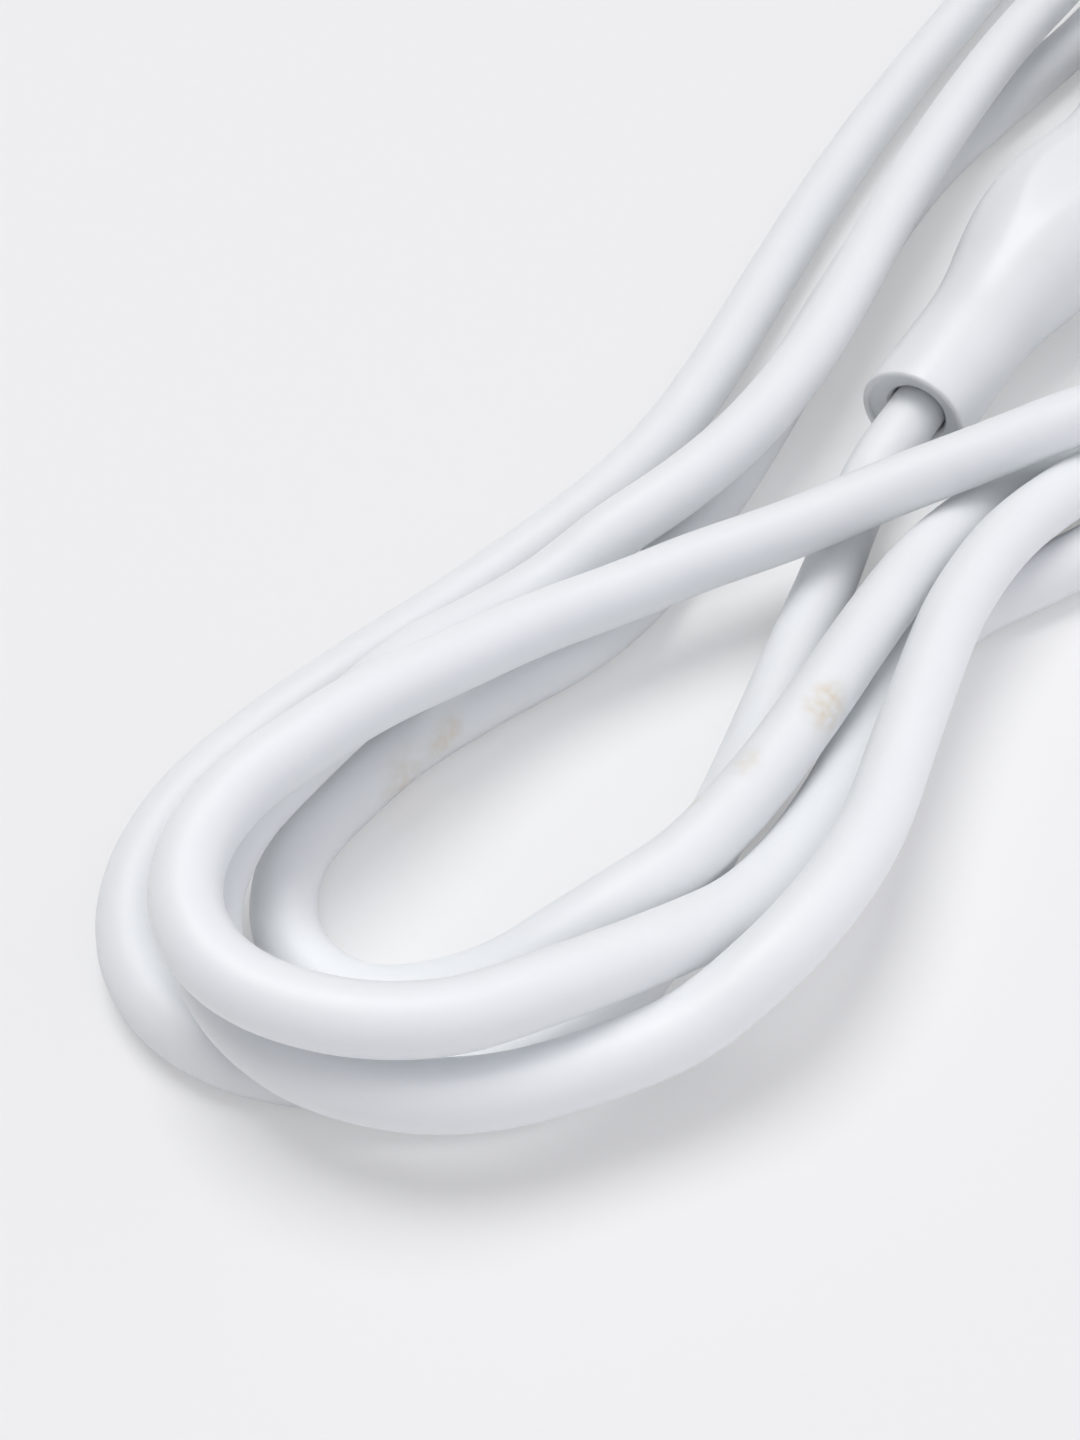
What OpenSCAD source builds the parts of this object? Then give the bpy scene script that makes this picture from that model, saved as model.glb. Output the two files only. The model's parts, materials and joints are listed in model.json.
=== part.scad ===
// Two-pole earthed extension cord: a rewirable plug and a rewirable socket on one
// white three-core flexible cord, stored as a loose flat hank.
// Millimetres. +X runs along the socket's axis and out of its well, +Z is up, and the
// origin is on the surface the cord lies on, under the middle of the socket.

/* [Cord] */
// Outside diameter of the round sheath
cord_d = 7; // [6.6:0.1:7.2]
// Diameter of one insulated core
core_d = 2.4; // [1.8:0.1:2.4]
// Diameter of the bare conductor
wire_d = 1.3; // [0.9:0.1:1.6]
// How far the middle of each far fold of the hank lies past the socket's middle
fold_x = 61; // [50:1:80]
// Width of the tie along the cord
tie_w = 8; // [5:0.5:12]
// Thickness of the tie's strap
tie_t = 0.7; // [0.4:0.1:0.8]

/* [Round-pin system] */
// Distance between the two pins, and between the two contact holes
pin_pitch = 19; // [18.5:0.1:19.5]
// Diameter of a plug pin
pin_d = 4.8; // [4.5:0.1:4.9]
// Length of a pin in front of the plug's face
pin_len = 19; // [17:0.5:19.5]
// Diameter of a contact hole in the socket's face
contact_hole_d = 5.2; // [5.1:0.1:5.6]

/* [Socket] */
// Distance from the cord entry of the socket to the rim of its cup
socket_len = 96; // [92:1:110]
// Diameter of the well that takes the plug's disc
well_d = 39.5; // [39:0.5:40.5]
// Depth of the well
well_depth = 17.5; // [17:0.5:18]
// Thickness of the face between the well and the shutter
face_t = 4; // [3:0.5:4.5]
// Step from the well out to the inside of the shell
cup_step = 1.75; // [1.75:0.25:2.5]
// Thickness of the shell round the contacts
cup_wall = 2.5; // [2:0.25:3]
// Thickness of the rear cover's flange at the parting line
socket_flange_t = 3; // [2.5:0.5:4]
// Outside diameter of the socket's neck
socket_neck_d = 16; // [15:0.5:17]
// Length of the socket's neck
socket_neck_len = 18; // [14:1:20]
// Largest diameter of the socket's grip
socket_grip_d = 30; // [29:0.5:32]
// Diameter of the waist between grip and flange
socket_waist_d = 23; // [22.5:0.5:26]
// How far the shutter slides to open
shutter_travel = 6; // [5.8:0.1:6.2]
// Thickness of the shutter
shutter_t = 2.2; // [1.8:0.1:2.3]

/* [Plug] */
// Distance from the cord entry of the plug to its face
plug_len = 104; // [100:1:112]
// Diameter of the plug's disc
disc_d = 37; // [36:0.5:38]
// Length of the front shell, from the parting line to the face
front_len = 11.6; // [11:0.2:13]
// Thickness of the plug's face
plug_face_t = 4; // [3.5:0.5:4.5]
// Thickness of the rim wall
rim_wall = 2.2; // [2.2:0.1:2.6]
// Thickness of the plug cover's flange at the parting line
plug_flange_t = 2.4; // [2:0.2:3]
// Outside diameter of the plug's neck
plug_neck_d = 14; // [13.6:0.2:15]
// Length of the plug's neck
plug_neck_len = 15; // [12:1:17]
// Largest diameter of the plug's grip
plug_grip_d = 20; // [19.8:0.2:22]
// Diameter of the waist between grip and shoulder
plug_waist_d = 14.8; // [14.6:0.2:16]
// Diameter of the shoulder behind the disc
plug_shoulder_d = 27; // [26:0.5:30]

/* [Shells] */
// Wall of the thin necks
neck_wall = 0.9; // [0.8:0.1:1.1]
// Wall of the socket's grip
grip_wall = 2.2; // [1.8:0.1:2.2]
// Wall of the plug's grip
plug_wall = 1.5; // [1.3:0.1:1.5]
// Radius of the rounded outside edges
edge_r = 1.6; // [1:0.2:2]
// Clearance between pieces that slide past or sit in each other
fit_gap = 0.15; // [0.1:0.05:0.2]

/* [Cord clamps] */
// Radius of a clamp screw's thread
clamp_screw_r = 1; // [0.8:0.1:1]
// Length of each clamp along the cord
clamp_l = 5; // [4:0.5:6]
// Thickness of each clamp's bar
clamp_t = 1.3; // [1:0.1:1.3]

/* [Hidden] */

$fn = 64;
eps = 0.02;
cord_r = cord_d / 2;
core_r = core_d / 2;
pin_y = pin_pitch / 2;

// ---------- smooth outline of a grip ----------

// Stations are [distance from the cord entry, radius]: the neck's end first, then each
// swell and waist, with an S-curve from one to the next. A waist is level at its station.
function grip_r(x, stations, i = 1) =
    x <= stations[0][0] ? stations[0][1] :
    i >= len(stations) ? stations[len(stations) - 1][1] :
    x > stations[i][0] ? grip_r(x, stations, i + 1) :
    let (a = stations[i - 1], b = stations[i])
    a[1] + (b[1] - a[1]) * (1 - cos(180 * (x - a[0]) / (b[0] - a[0]))) / 2;

// ---------- sizes of the socket, along its own axis ----------

socket_end_x = socket_len / 2;
socket_entry_x = -socket_len / 2;
socket_neck_r = socket_neck_d / 2;
socket_grip_r = socket_grip_d / 2;
socket_waist_r = socket_waist_d / 2;
well_r = well_d / 2;
cavity_r = well_r + cup_step;
cup_r = cavity_r + cup_wall;
well_x = socket_end_x - well_depth;
face_x = well_x - face_t;
// The shutter runs between the face and the contact base
shutter_x = face_x - 0.2 - shutter_t;
shutter_half_w = pin_y + contact_hole_d / 2 + 2.5;
shutter_low = -(shutter_travel + contact_hole_d / 2 + 2);
shutter_high = contact_hole_d / 2 + 1.9;
guide_w = 1.6;
guide_y = shutter_half_w + 0.2;
guide_low = shutter_low - 0.1 - guide_w;
guide_high = shutter_high + 8.5;
spring_turns = 9;
spring_wire_r = 0.2;
spring_r = 0.85;
spring_low = shutter_high + 0.1;
spring_high = shutter_high + shutter_travel + 4.6;
spring_x = shutter_x + shutter_t / 2;
base_front_x = shutter_x - 0.2;
base_r = cavity_r - fit_gap - 0.15;
base_recess_x = base_front_x - 6.8;
base_recess_r = base_r - 3.7;
socket_core_y = 5.6;
sleeve_bore_r = pin_d / 2 + 0.1;
sleeve_r = sleeve_bore_r + 1.1;
block_x = base_recess_x - 4.9;
// The front shell ends just behind the terminal blocks
block_gap = 1.2;
parting_x = block_x - block_gap;
flange_x = parting_x - socket_flange_t;
socket_waist_x = flange_x - 2;
socket_rise_len = 22;
socket_stations = [
    [socket_neck_len, socket_neck_r],
    [socket_neck_len + socket_rise_len, socket_grip_r],
    [socket_waist_x - socket_entry_x, socket_waist_r]
];
block_h = 3.6;
bar_x = base_recess_x - 1.2;
bar_t = 1;
bar_arm_z = well_r - 0.75;
bar_w = 6;
bar_screw_z = 8.5;
bar_nose_x = well_x + 8;
m4_r = 2;
m4_head_r = 4;
m4_nut_af = 7;
m4_nut_t = 3.2;
m3_r = 1.5;
m3_head_r = 3;
m3_nut_af = 5.5;
m3_nut_t = 2.4;
terminal_screw_r = 1;
clamp_z = cord_r + 0.05;
clamp_screw_y = cord_r + clamp_screw_r + 0.2;
clamp_lug_r = clamp_screw_r + 0.9;
clamp_screw_len = clamp_t + 2 * clamp_z + 2.4;
// Length of sheath left past the clamp, and of core that runs straight out of it
sheath_over = 1.5;
core_straight = 3;
sheath_start = 8;
bridge_half_w = 2.6;
socket_bridge_x = socket_waist_x - 1;
socket_nut_x = socket_bridge_x - m4_nut_t;
socket_clamp_x = (socket_entry_x + socket_neck_len + socket_nut_x) / 2;
socket_sheath_end_x = socket_clamp_x + clamp_l / 2 + sheath_over;

// ---------- sizes of the plug, along its own axis from its cord entry ----------

plug_neck_r = plug_neck_d / 2;
plug_grip_r = plug_grip_d / 2;
plug_waist_r = plug_waist_d / 2;
disc_r = disc_d / 2;
plug_parting_x = plug_len - front_len;
plug_flange_x = plug_parting_x - plug_flange_t;
plug_rise_len = 24;
plug_fall_len = 20;
plug_top_x = plug_neck_len + plug_rise_len;
plug_waist_x = plug_top_x + plug_fall_len;
plug_shoulder_x = plug_flange_x - 2;
plug_stations = [
    [plug_neck_len, plug_neck_r],
    [plug_top_x, plug_grip_r],
    [plug_waist_x, plug_waist_r],
    [plug_shoulder_x, plug_shoulder_d / 2]
];
plug_plate_x = plug_len - plug_face_t;
plug_cavity_r = disc_r - rim_wall;
plug_core_y = 5;
pin_block_x = plug_plate_x - 5.6;
pin_block_h = 3.2;
// Inside the face each pin has a thicker root
pin_root_r = pin_d / 2 + 0.3;
strip_t = 1;
strip_w = 6;
strip_plate_x = plug_plate_x - 1.6;
strip_screw_z = 8;
plug_clamp_x = plug_top_x + 1;
plug_sheath_end_x = plug_clamp_x + clamp_l / 2 + sheath_over;
plug_bridge_x = plug_shoulder_x - 1;
plug_nut_x = plug_bridge_x - m3_nut_t;

// The plug lies on the rim of its disc and the end of its neck
plug_tilt = atan((disc_r - plug_neck_r) / plug_flange_x);
plug_turn = -4.5;
plug_mouth = [-122.7, 75, plug_neck_r * cos(plug_tilt)];
plug_dir = [cos(plug_tilt) * cos(plug_turn), cos(plug_tilt) * sin(plug_turn), sin(plug_tilt)];
function on_plug(s) = plug_mouth + s * plug_dir;

// ---------- the cord's route ----------

floor_z = 3.5;
fold_steps = 6;
tie_x = -71;
tie_z = 4.4;
socket_z = cup_r;

// Half turn of the hank's far end, from one run to the next, at one height
function far_fold(y_from, y_to, z) = [
    for (i = [0:fold_steps])
        let (a = 90 - 180 * i / fold_steps, r = (y_from - y_to) / 2)
        [fold_x + r * cos(a), (y_from + y_to) / 2 + r * sin(a), z]
];

plug_lead = [
    on_plug(sheath_start), on_plug(0), [-131, 75.6, 5.7], [-140, 75, 4.2], [-150, 73.4, 3.5], [-162, 71.8, 3.5]
];
// Lowest loop: under the others, round the near end, and out along the far side
run_1 = [
    [-162, 71.8, 3.5], [-175, 70, 3.5], [-186, 68.6, 3.5], [-195, 67.9, 3.5], [-203, 67.3, 3.5],
    [-211, 67.2, 3.5], [-219, 69.3, 3.5], [-227, 75, 3.5], [-234, 86, 3.5], [-237.5, 97, 3.5],
    [-236.5, 106, 3.5], [-232.5, 112.5, 3.5], [-225.5, 117.2, 3.5], [-215, 119.2, 3.5],
    [-203, 117.4, 3.5], [-190, 113.8, 3.5], [-176, 109.3, 3.5], [-161, 105.2, 3.5], [-149, 102.6, 3.5],
    [-137, 101.6, 3.5], [-122, 102.2, 3.5], [-100, 104.3, 3.5], [-75, 106.3, 3.5], [-40, 107.2, 3.5],
    [25, 106, 3.5]
];
// Second loop: the innermost near fold
run_2 = [
    [30, 54, 3.5], [-20, 50, 4.4], [-44, 51, 4.4], [-62, 53.8, 4.4], [-80, 53.8, 4.4], [-96, 54, 3.5],
    [-110, 56.2, 3.5], [-122, 59, 4], [-134, 62, 5.8], [-147, 63.8, 8.6], [-160, 64.3, 10.2],
    [-175, 64.6, 10.7], [-189, 65.4, 11], [-200, 67.3, 11], [-207, 70.2, 10.9], [-213, 73.6, 9.4],
    [-218.4, 77.3, 7.2], [-223.2, 83, 5.1], [-226, 89, 3.9], [-225.8, 95, 3.5], [-223, 100.2, 3.5],
    [-218.2, 103.6, 3.5], [-212.5, 105, 3.5], [-204, 104.2, 3.5], [-196, 102.6, 3.5],
    [-185, 98.4, 3.5], [-173, 93.2, 3.5], [-160, 91, 3.5], [-140, 91.2, 3.5], [-118, 92.8, 3.5],
    [-95, 94.6, 3.5], [-68, 95, 3.5], [-44, 91.6, 3.5], [-20, 88, 3.5], [10, 86.5, 4.5],
    [42, 86.5, 9.5]
];
// Third loop: on the second, and down beside the first at the near end
run_3 = [
    [40, 40, 11], [12, 38.8, 6], [-20, 42.2, 4.4], [-44, 43.2, 4.4], [-62, 46, 4.4], [-80, 46, 4.4],
    [-96, 46.3, 3.5], [-108, 48.2, 4.6], [-119, 50.9, 6.8], [-130, 53.7, 9.4], [-141, 56, 11.2],
    [-154, 56.8, 11.6], [-166, 55.5, 11.6], [-177, 53.9, 11.8], [-188, 52.3, 12.8], [-199, 52.4, 13.9],
    [-208.6, 54.4, 13.4], [-217, 58.2, 11], [-225, 64.3, 10.3], [-231.2, 70, 10.5], [-236, 77.2, 10.9],
    [-238.3, 88, 11.1], [-235.5, 98.2, 11.2], [-228.5, 105, 11.2], [-219, 108.2, 10.9],
    [-209, 108, 10.6], [-199, 106.9, 10.4], [-189, 105.8, 9.2], [-179.5, 103, 7.5], [-170, 99.8, 7.2],
    [-162, 96.5, 9.5], [-153, 92.8, 10.8], [-142, 90.3, 11.1], [-128, 89.4, 11], [-110, 90.4, 11],
    [-90, 92.4, 11], [-65, 93.9, 11.1], [-42, 94, 11.2], [-20, 92.6, 11.2], [8, 91.2, 12.4],
    [40, 91, 16.5]
];
// Last loop: on top at the near end, ending over the first
run_4 = [
    [40, 30, 18], [12, 30.6, 11], [-16, 34, 4.8], [-44, 35.4, 4.4], [-62, 38.2, 4.4], [-80, 38.2, 4.4],
    [-96, 38.6, 3.5], [-108, 40.6, 3.5], [-118, 43.3, 3.5], [-128, 47, 3.5], [-137, 51.6, 3.5],
    [-147, 57, 3.5], [-158, 59.8, 3.6], [-170, 59.4, 4.6], [-182, 58.6, 6.3], [-192.5, 58.7, 8.1],
    [-201.3, 60, 9.9], [-208.2, 62.4, 12.4], [-215.4, 65.5, 15.1], [-223.2, 69.8, 17.2],
    [-230.6, 75.4, 18.1], [-235.4, 83, 18.5], [-237.4, 91.5, 18.7], [-236.4, 98, 18.8],
    [-232.6, 103.2, 18.7], [-226.8, 106.2, 18.6], [-219.5, 106.8, 18.4], [-211.5, 105.2, 18],
    [-201.5, 102.6, 16.8], [-191, 99.6, 13.9], [-180, 95.5, 11.8], [-171, 90.4, 11], [-162, 84.9, 11]
];
socket_lead = [
    [-162, 84.9, 11], [-152, 78, 11], [-141, 70.6, 12], [-131, 63.2, 13], [-121, 56.2, 13.8],
    [-111, 49, 13.4], [-101, 41.5, 13], [-91, 32, 14], [-82, 21.5, 17], [-74, 11, 20.5],
    [-66, 3.8, 23], [-57, 0.4, 24],
    [socket_entry_x, 0, socket_z], [socket_entry_x + sheath_start, 0, socket_z]
];
hank_route = concat(
    run_1, far_fold(106, 54, 3.5), run_2, far_fold(86.5, 40, 11),
    run_3, far_fold(91, 30, 18.6), run_4
);

// ---------- a round tube swept along points ----------

function unit(v) = v / norm(v);
function tangent(p, i) =
    i == 0 ? unit(p[1] - p[0]) :
    i == len(p) - 1 ? unit(p[i] - p[i - 1]) :
    unit(unit(p[i] - p[i - 1]) + unit(p[i + 1] - p[i]));
// One ring of n corners square to the path, with a corner straight down on level runs
function ring(c, t, r, n) =
    let (side = unit(cross([0, 0, 1], t)), up = cross(t, side))
    [for (k = [0:n - 1]) c + r * (side * sin(360 * k / n) - up * cos(360 * k / n))];

// r is one radius, or a list with one for each point
module tube(path, r, sides) {
    last = len(path) - 1;
    corners = [for (i = [0:last]) each ring(path[i], tangent(path, i), is_list(r) ? r[i] : r, sides)];
    skin = [
        for (i = [0:last - 1], k = [0:sides - 1])
            let (a = i * sides + k, b = i * sides + (k + 1) % sides, c = a + sides, d = b + sides)
            each [[a, b, d], [a, d, c]]
    ];
    start_cap = [for (k = [1:sides - 2]) [0, k + 1, k]];
    end_cap = [for (k = [1:sides - 2]) [last * sides, last * sides + k, last * sides + k + 1]];
    polyhedron(points = corners, faces = concat(skin, start_cap, end_cap), convexity = 10);
}

// Points along a path, part of the way between each pair of its own points
function finer(path, parts) = [
    for (i = [0:len(path) - 2], k = [0:parts - 1]) path[i] + (path[i + 1] - path[i]) * k / parts
];
function path_length(path) = [for (i = [1:len(path) - 1]) norm(path[i] - path[i - 1])] * [for (i = [1:len(path) - 1]) 1];
// Least distance between points of a path that lie more than skip points apart along it
function least_gap(p, skip) = min([
    for (i = [0:len(p) - skip - 2]) min([for (j = [i + skip + 1:len(p) - 1]) norm(p[i] - p[j])])
]);

// ---------- shared small pieces, along +X unless said ----------

module along_x(x0, x1, r) {
    translate([x0, 0, 0]) rotate([0, 90, 0]) cylinder(h = x1 - x0, r = r);
}

// A tube of revolution about X, given as [x, r] points
module turned(points) {
    rotate([0, 90, 0]) rotate_extrude() polygon([for (p = points) [p[1], p[0]]]);
}

module box_x(x0, x1, y0, y1, z0, z1) {
    translate([x0, y0, z0]) cube([x1 - x0, y1 - y0, z1 - z0]);
}

// Cylinder head screw pointing down -Z, its seat at z = 0, with a screwdriver slot
module small_screw(r, length, head_r, head_h) {
    difference() {
        union() {
            translate([0, 0, -length]) cylinder(h = length + eps, r = r);
            cylinder(h = head_h, r = head_r);
        }
        translate([-head_r, -0.3, head_h / 2]) cube([2 * head_r, 0.6, head_h]);
    }
}

// Countersunk screw along -X, its flat head ending at x = 0
module flat_head_screw(r, length, head_r) {
    difference() {
        union() {
            turned([[0, 0], [0, head_r], [-0.4, head_r], [r - head_r - 0.4, r], [r - head_r - 0.4, 0]]);
            along_x(-length, r - head_r, r);
        }
        box_x(-0.9, 1, -head_r, head_r, -0.4, 0.4);
    }
}

// The space that flat_head_screw needs in a face
module flat_head_seat(head_r) {
    turned([[1, 0], [1, head_r + 0.1], [-0.5, head_r + 0.1], [-head_r - 0.6, 0]]);
}

module nut(x0, across_flats, thick, hole_r) {
    difference() {
        translate([x0, 0, 0]) rotate([0, 90, 0])
            cylinder(h = thick, r = across_flats / 2 / cos(30), $fn = 6);
        along_x(x0 - 1, x0 + thick + 1, hole_r);
    }
}

// Saddle on which the sheath lies, with holes for the clamp's screws
module saddle_block(x, reach) {
    half_w = clamp_screw_y + clamp_lug_r;
    difference() {
        box_x(x - clamp_l / 2, x + clamp_l / 2, -half_w, half_w, -reach, -clamp_z);
        for (y = [-clamp_screw_y, clamp_screw_y])
            translate([x, y, -reach - 1]) cylinder(h = reach, r = clamp_screw_r + 0.1);
    }
}

module cord_clamp(x) {
    difference() {
        union() {
            box_x(x - clamp_l / 2 + 0.5, x + clamp_l / 2 - 0.5, -clamp_screw_y, clamp_screw_y,
                  clamp_z, clamp_z + clamp_t);
            for (y = [-clamp_screw_y, clamp_screw_y])
                translate([x, y, clamp_z]) cylinder(h = clamp_t, r = clamp_lug_r);
        }
        for (y = [-clamp_screw_y, clamp_screw_y])
            translate([x, y, 0]) cylinder(h = 20, r = clamp_screw_r + 0.1);
    }
}

module clamp_screws(x) {
    for (y = [-clamp_screw_y, clamp_screw_y])
        translate([x, y, clamp_z + clamp_t])
            small_screw(clamp_screw_r, clamp_screw_len, 1.4 * clamp_screw_r, 0.8);
}

// One insulated core along points of its own, with its bare end straight on along X
module core(points, bare_x) {
    tip = points[len(points) - 1];
    path = concat(points, [[tip[0] + 0.3, tip[1], tip[2]], [bare_x, tip[1], tip[2]]]);
    radii = concat([for (p = points) core_r], [wire_d / 2, wire_d / 2]);
    tube(path, radii, 8);
}

// Outline of a hollow grip, as [x, r] points: outside forward, inside back
function grip_outline(entry, stations, wall, flange_x, flange_r, open_x) =
    let (
        steps = 40,
        start = stations[0][0],
        end = stations[len(stations) - 1][0],
        bore_r = stations[0][1] - neck_wall,
        inner_r = stations[len(stations) - 1][1] - wall,
        outside = [
            for (i = [0:steps])
                let (x = start + (end - start) * i / steps)
                [entry + x, grip_r(x, stations)]
        ],
        inside = [
            for (i = [steps:-1:1])
                let (x = start + (end - start) * i / steps)
                [entry + x, max(grip_r(x, stations) - wall, bore_r)]
        ],
        lip_r = neck_wall / 2,
        mouth = [for (a = [0:30:90]) [entry + lip_r * (1 - cos(a)), stations[0][1] - lip_r * (1 - sin(a))]],
        back_edge = [for (a = [0:15:90]) [flange_x + edge_r * (1 - cos(a)), flange_r - edge_r * (1 - sin(a))]]
    )
    concat(
        [[entry, bore_r]],
        mouth, outside, [[flange_x, outside[steps][1]]], back_edge,
        [[open_x, flange_r], [open_x, inner_r]],
        inside, [[entry + start, bore_r]]
    );

// The same grip filled solid, to cut saddles and bridges to its walls
function grip_core(entry, stations, open_x) =
    let (
        steps = 20,
        start = stations[0][0],
        end = stations[len(stations) - 1][0]
    )
    concat(
        [[entry + start, 0]],
        [for (i = [0:steps])
            let (x = start + (end - start) * i / steps)
            [entry + x, grip_r(x, stations) - 0.6]],
        [[open_x, stations[len(stations) - 1][1] - 0.6], [open_x, 0]]
    );

// ---------- socket ----------

module in_socket() {
    translate([0, 0, socket_z]) children();
}

module socket_cup() {
    color("white") in_socket() difference() {
        union() {
            turned([
                [parting_x, cavity_r], [parting_x, cup_r],
                for (a = [0:15:90]) [socket_end_x - edge_r * (1 - sin(a)), cup_r - edge_r * (1 - cos(a))],
                [socket_end_x, well_r + 0.8], [socket_end_x - 0.8, well_r], [well_x, well_r],
                [well_x, 0], [face_x, 0], [face_x, cavity_r]
            ]);
            // guides on both sides of the shutter, its rest and the spring's seat
            for (y = [-guide_y - guide_w, guide_y])
                box_x(base_front_x + 0.1, face_x + eps, y, y + guide_w, guide_low, guide_high);
            box_x(base_front_x + 0.1, face_x + eps, -guide_y - eps, guide_y + eps, guide_low, shutter_low - 0.1);
            box_x(base_front_x + 0.1, face_x + eps, -3, 3, spring_high + 0.1, spring_high + 0.1 + guide_w);
        }
        for (y = [-pin_y, pin_y]) translate([0, y, 0]) along_x(face_x - 1, well_x + 1, contact_hole_d / 2);
        along_x(face_x - 1, well_x + 1, m4_r + 0.15);
        translate([well_x, 0, 0]) flat_head_seat(m4_head_r);
        // grooves and slots for the two earth clips
        for (s = [0, 180]) rotate([s, 0, 0])
            box_x(face_x - 1, socket_end_x - 3, -bar_w / 2 - 0.2, bar_w / 2 + 0.2,
                  bar_arm_z - 0.2, bar_arm_z + bar_t + 0.2);
    }
}

module socket_cover() {
    outline = grip_outline(socket_entry_x, socket_stations, grip_wall, flange_x, cup_r, parting_x);
    filling = grip_core(socket_entry_x, socket_stations, parting_x);
    color("white") in_socket() difference() {
        union() {
            turned(outline);
            intersection() {
                turned(filling);
                union() {
                    saddle_block(socket_clamp_x, socket_grip_r);
                    box_x(socket_bridge_x, parting_x, -bridge_half_w, bridge_half_w, -cup_r, cup_r);
                }
            }
        }
        along_x(socket_bridge_x - 1, parting_x + 1, m4_r + 0.15);
    }
}

module contact_base() {
    color("lightgray") in_socket() difference() {
        along_x(parting_x, base_front_x, base_r);
        along_x(parting_x - 1, base_recess_x, base_recess_r);
        for (y = [-pin_y, pin_y]) translate([0, y, 0]) along_x(base_recess_x - 1, base_front_x + 1, sleeve_r + 0.1);
        along_x(base_recess_x - 1, base_front_x + 1, m4_r + 0.15);
        translate([0, 0, bar_screw_z]) along_x(base_recess_x - 1, base_recess_x + 4, m3_r + 0.1);
        for (s = [0, 180]) rotate([s, 0, 0]) {
            box_x(parting_x - 1, base_front_x + 1, -bar_w / 2 - 0.2, bar_w / 2 + 0.2,
                  bar_arm_z - 0.2, bar_arm_z + bar_t + 0.2);
            box_x(parting_x - 1, base_recess_x + eps, -bar_w / 2 - 0.2, bar_w / 2 + 0.2,
                  base_recess_r - 1, bar_arm_z + bar_t + 0.2);
        }
    }
}

// Spring sleeve with its terminal block on the inner side
module contact(side) {
    color("goldenrod") in_socket() scale([1, side, 1]) difference() {
        union() {
            translate([0, pin_y, 0]) along_x(block_x, base_front_x - 0.2, sleeve_r);
            box_x(block_x, base_recess_x - 0.1, 3.9, pin_y + sleeve_r, -block_h, block_h);
        }
        translate([0, pin_y, 0]) along_x(block_x - 1, base_front_x + 1, sleeve_bore_r);
        // slits that let the sleeve grip the pin
        box_x(base_recess_x + 1, base_front_x + 1, pin_y - 0.4, pin_y + 0.4, -10, 10);
        translate([0, socket_core_y, 0]) along_x(block_x - 1, base_recess_x - 1, wire_d / 2 + 0.1);
        translate([(block_x + base_recess_x) / 2, socket_core_y, 0]) cylinder(h = 10, r = terminal_screw_r + 0.1);
    }
}

module line_contact() {
    contact(1);
}

module neutral_contact() {
    contact(-1);
}

module socket_earth_bar() {
    color("silver") in_socket() difference() {
        union() {
            box_x(bar_x, bar_x + bar_t, -bar_w / 2, bar_w / 2, -bar_arm_z - bar_t, bar_arm_z + bar_t);
            for (s = [0, 180]) rotate([s, 0, 0]) {
                box_x(bar_x, socket_end_x - 4, -bar_w / 2, bar_w / 2, bar_arm_z, bar_arm_z + bar_t);
                // rounded nose that presses on the plug's earth strip
                translate([bar_nose_x, 0, bar_arm_z + 0.5]) rotate([90, 0, 0])
                    cylinder(h = bar_w, r = 1.8, center = true);
            }
        }
        along_x(bar_x - 1, bar_x + bar_t + 1, m4_r + 0.3);
        translate([0, 0, bar_screw_z]) along_x(bar_x - 1, bar_x + bar_t + 1, m3_r + 0.1);
        // the grooves behind the noses stay clear
        for (s = [0, 180]) rotate([s, 0, 0])
            box_x(bar_nose_x - 3, bar_nose_x + 3, -bar_w, bar_w, bar_arm_z + bar_t, bar_arm_z + 4);
    }
}

module socket_terminal_screws() {
    color("silver") in_socket() {
        for (s = [-1, 1])
            translate([(block_x + base_recess_x) / 2, s * socket_core_y, block_h])
                small_screw(terminal_screw_r, 2.8, 1.8, 1.4);
        translate([bar_x, 0, bar_screw_z]) rotate([0, -90, 0]) small_screw(m3_r, 4.6, 2.6, 1.8);
    }
}

module shutter() {
    color("white") in_socket() difference() {
        box_x(shutter_x, shutter_x + shutter_t, -shutter_half_w, shutter_half_w, shutter_low, shutter_high);
        for (y = [-pin_y, pin_y]) translate([0, y, -shutter_travel])
            along_x(shutter_x - 1, shutter_x + shutter_t + 1, contact_hole_d / 2 + 0.2);
        // slot that clears the centre screw
        box_x(shutter_x - 1, shutter_x + shutter_t + 1, -m4_r - 0.4, m4_r + 0.4, -shutter_travel, 0);
        for (z = [-shutter_travel, 0])
            translate([0, 0, z]) along_x(shutter_x - 1, shutter_x + shutter_t + 1, m4_r + 0.4);
    }
}

module shutter_spring() {
    steps = spring_turns * 8;
    rise = spring_high - spring_low - 2 * spring_wire_r;
    coil = [
        for (i = [0:steps])
            let (a = 45 * i)
            [spring_x + spring_r * cos(a), spring_r * sin(a), spring_low + spring_wire_r + rise * i / steps]
    ];
    color("silver") in_socket() tube(coil, spring_wire_r, 6);
}

module socket_centre_screw() {
    color("silver") in_socket() translate([well_x, 0, 0])
        flat_head_screw(m4_r, well_x - socket_nut_x + 1, m4_head_r);
}

module socket_centre_nut() {
    color("silver") in_socket() nut(socket_nut_x, m4_nut_af, m4_nut_t, m4_r + 0.05);
}

module socket_cord_clamp() {
    color("lightgray") in_socket() cord_clamp(socket_clamp_x);
}

module socket_clamp_screws() {
    color("silver") in_socket() clamp_screws(socket_clamp_x);
}

module socket_sheath_end() {
    color("white") in_socket() along_x(socket_entry_x + sheath_start, socket_sheath_end_x, cord_r);
}

// Cores leave the sheath side by side and run past the bridge to their terminals
module socket_line_core() {
    color("saddlebrown") in_socket()
        core([[socket_sheath_end_x, 1.35, -0.75], [socket_sheath_end_x + core_straight, 1.35, -0.75],
              [socket_nut_x - 1.5, socket_core_y, 0], [block_x - 0.35, socket_core_y, 0]], block_x + 3.5);
}

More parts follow.
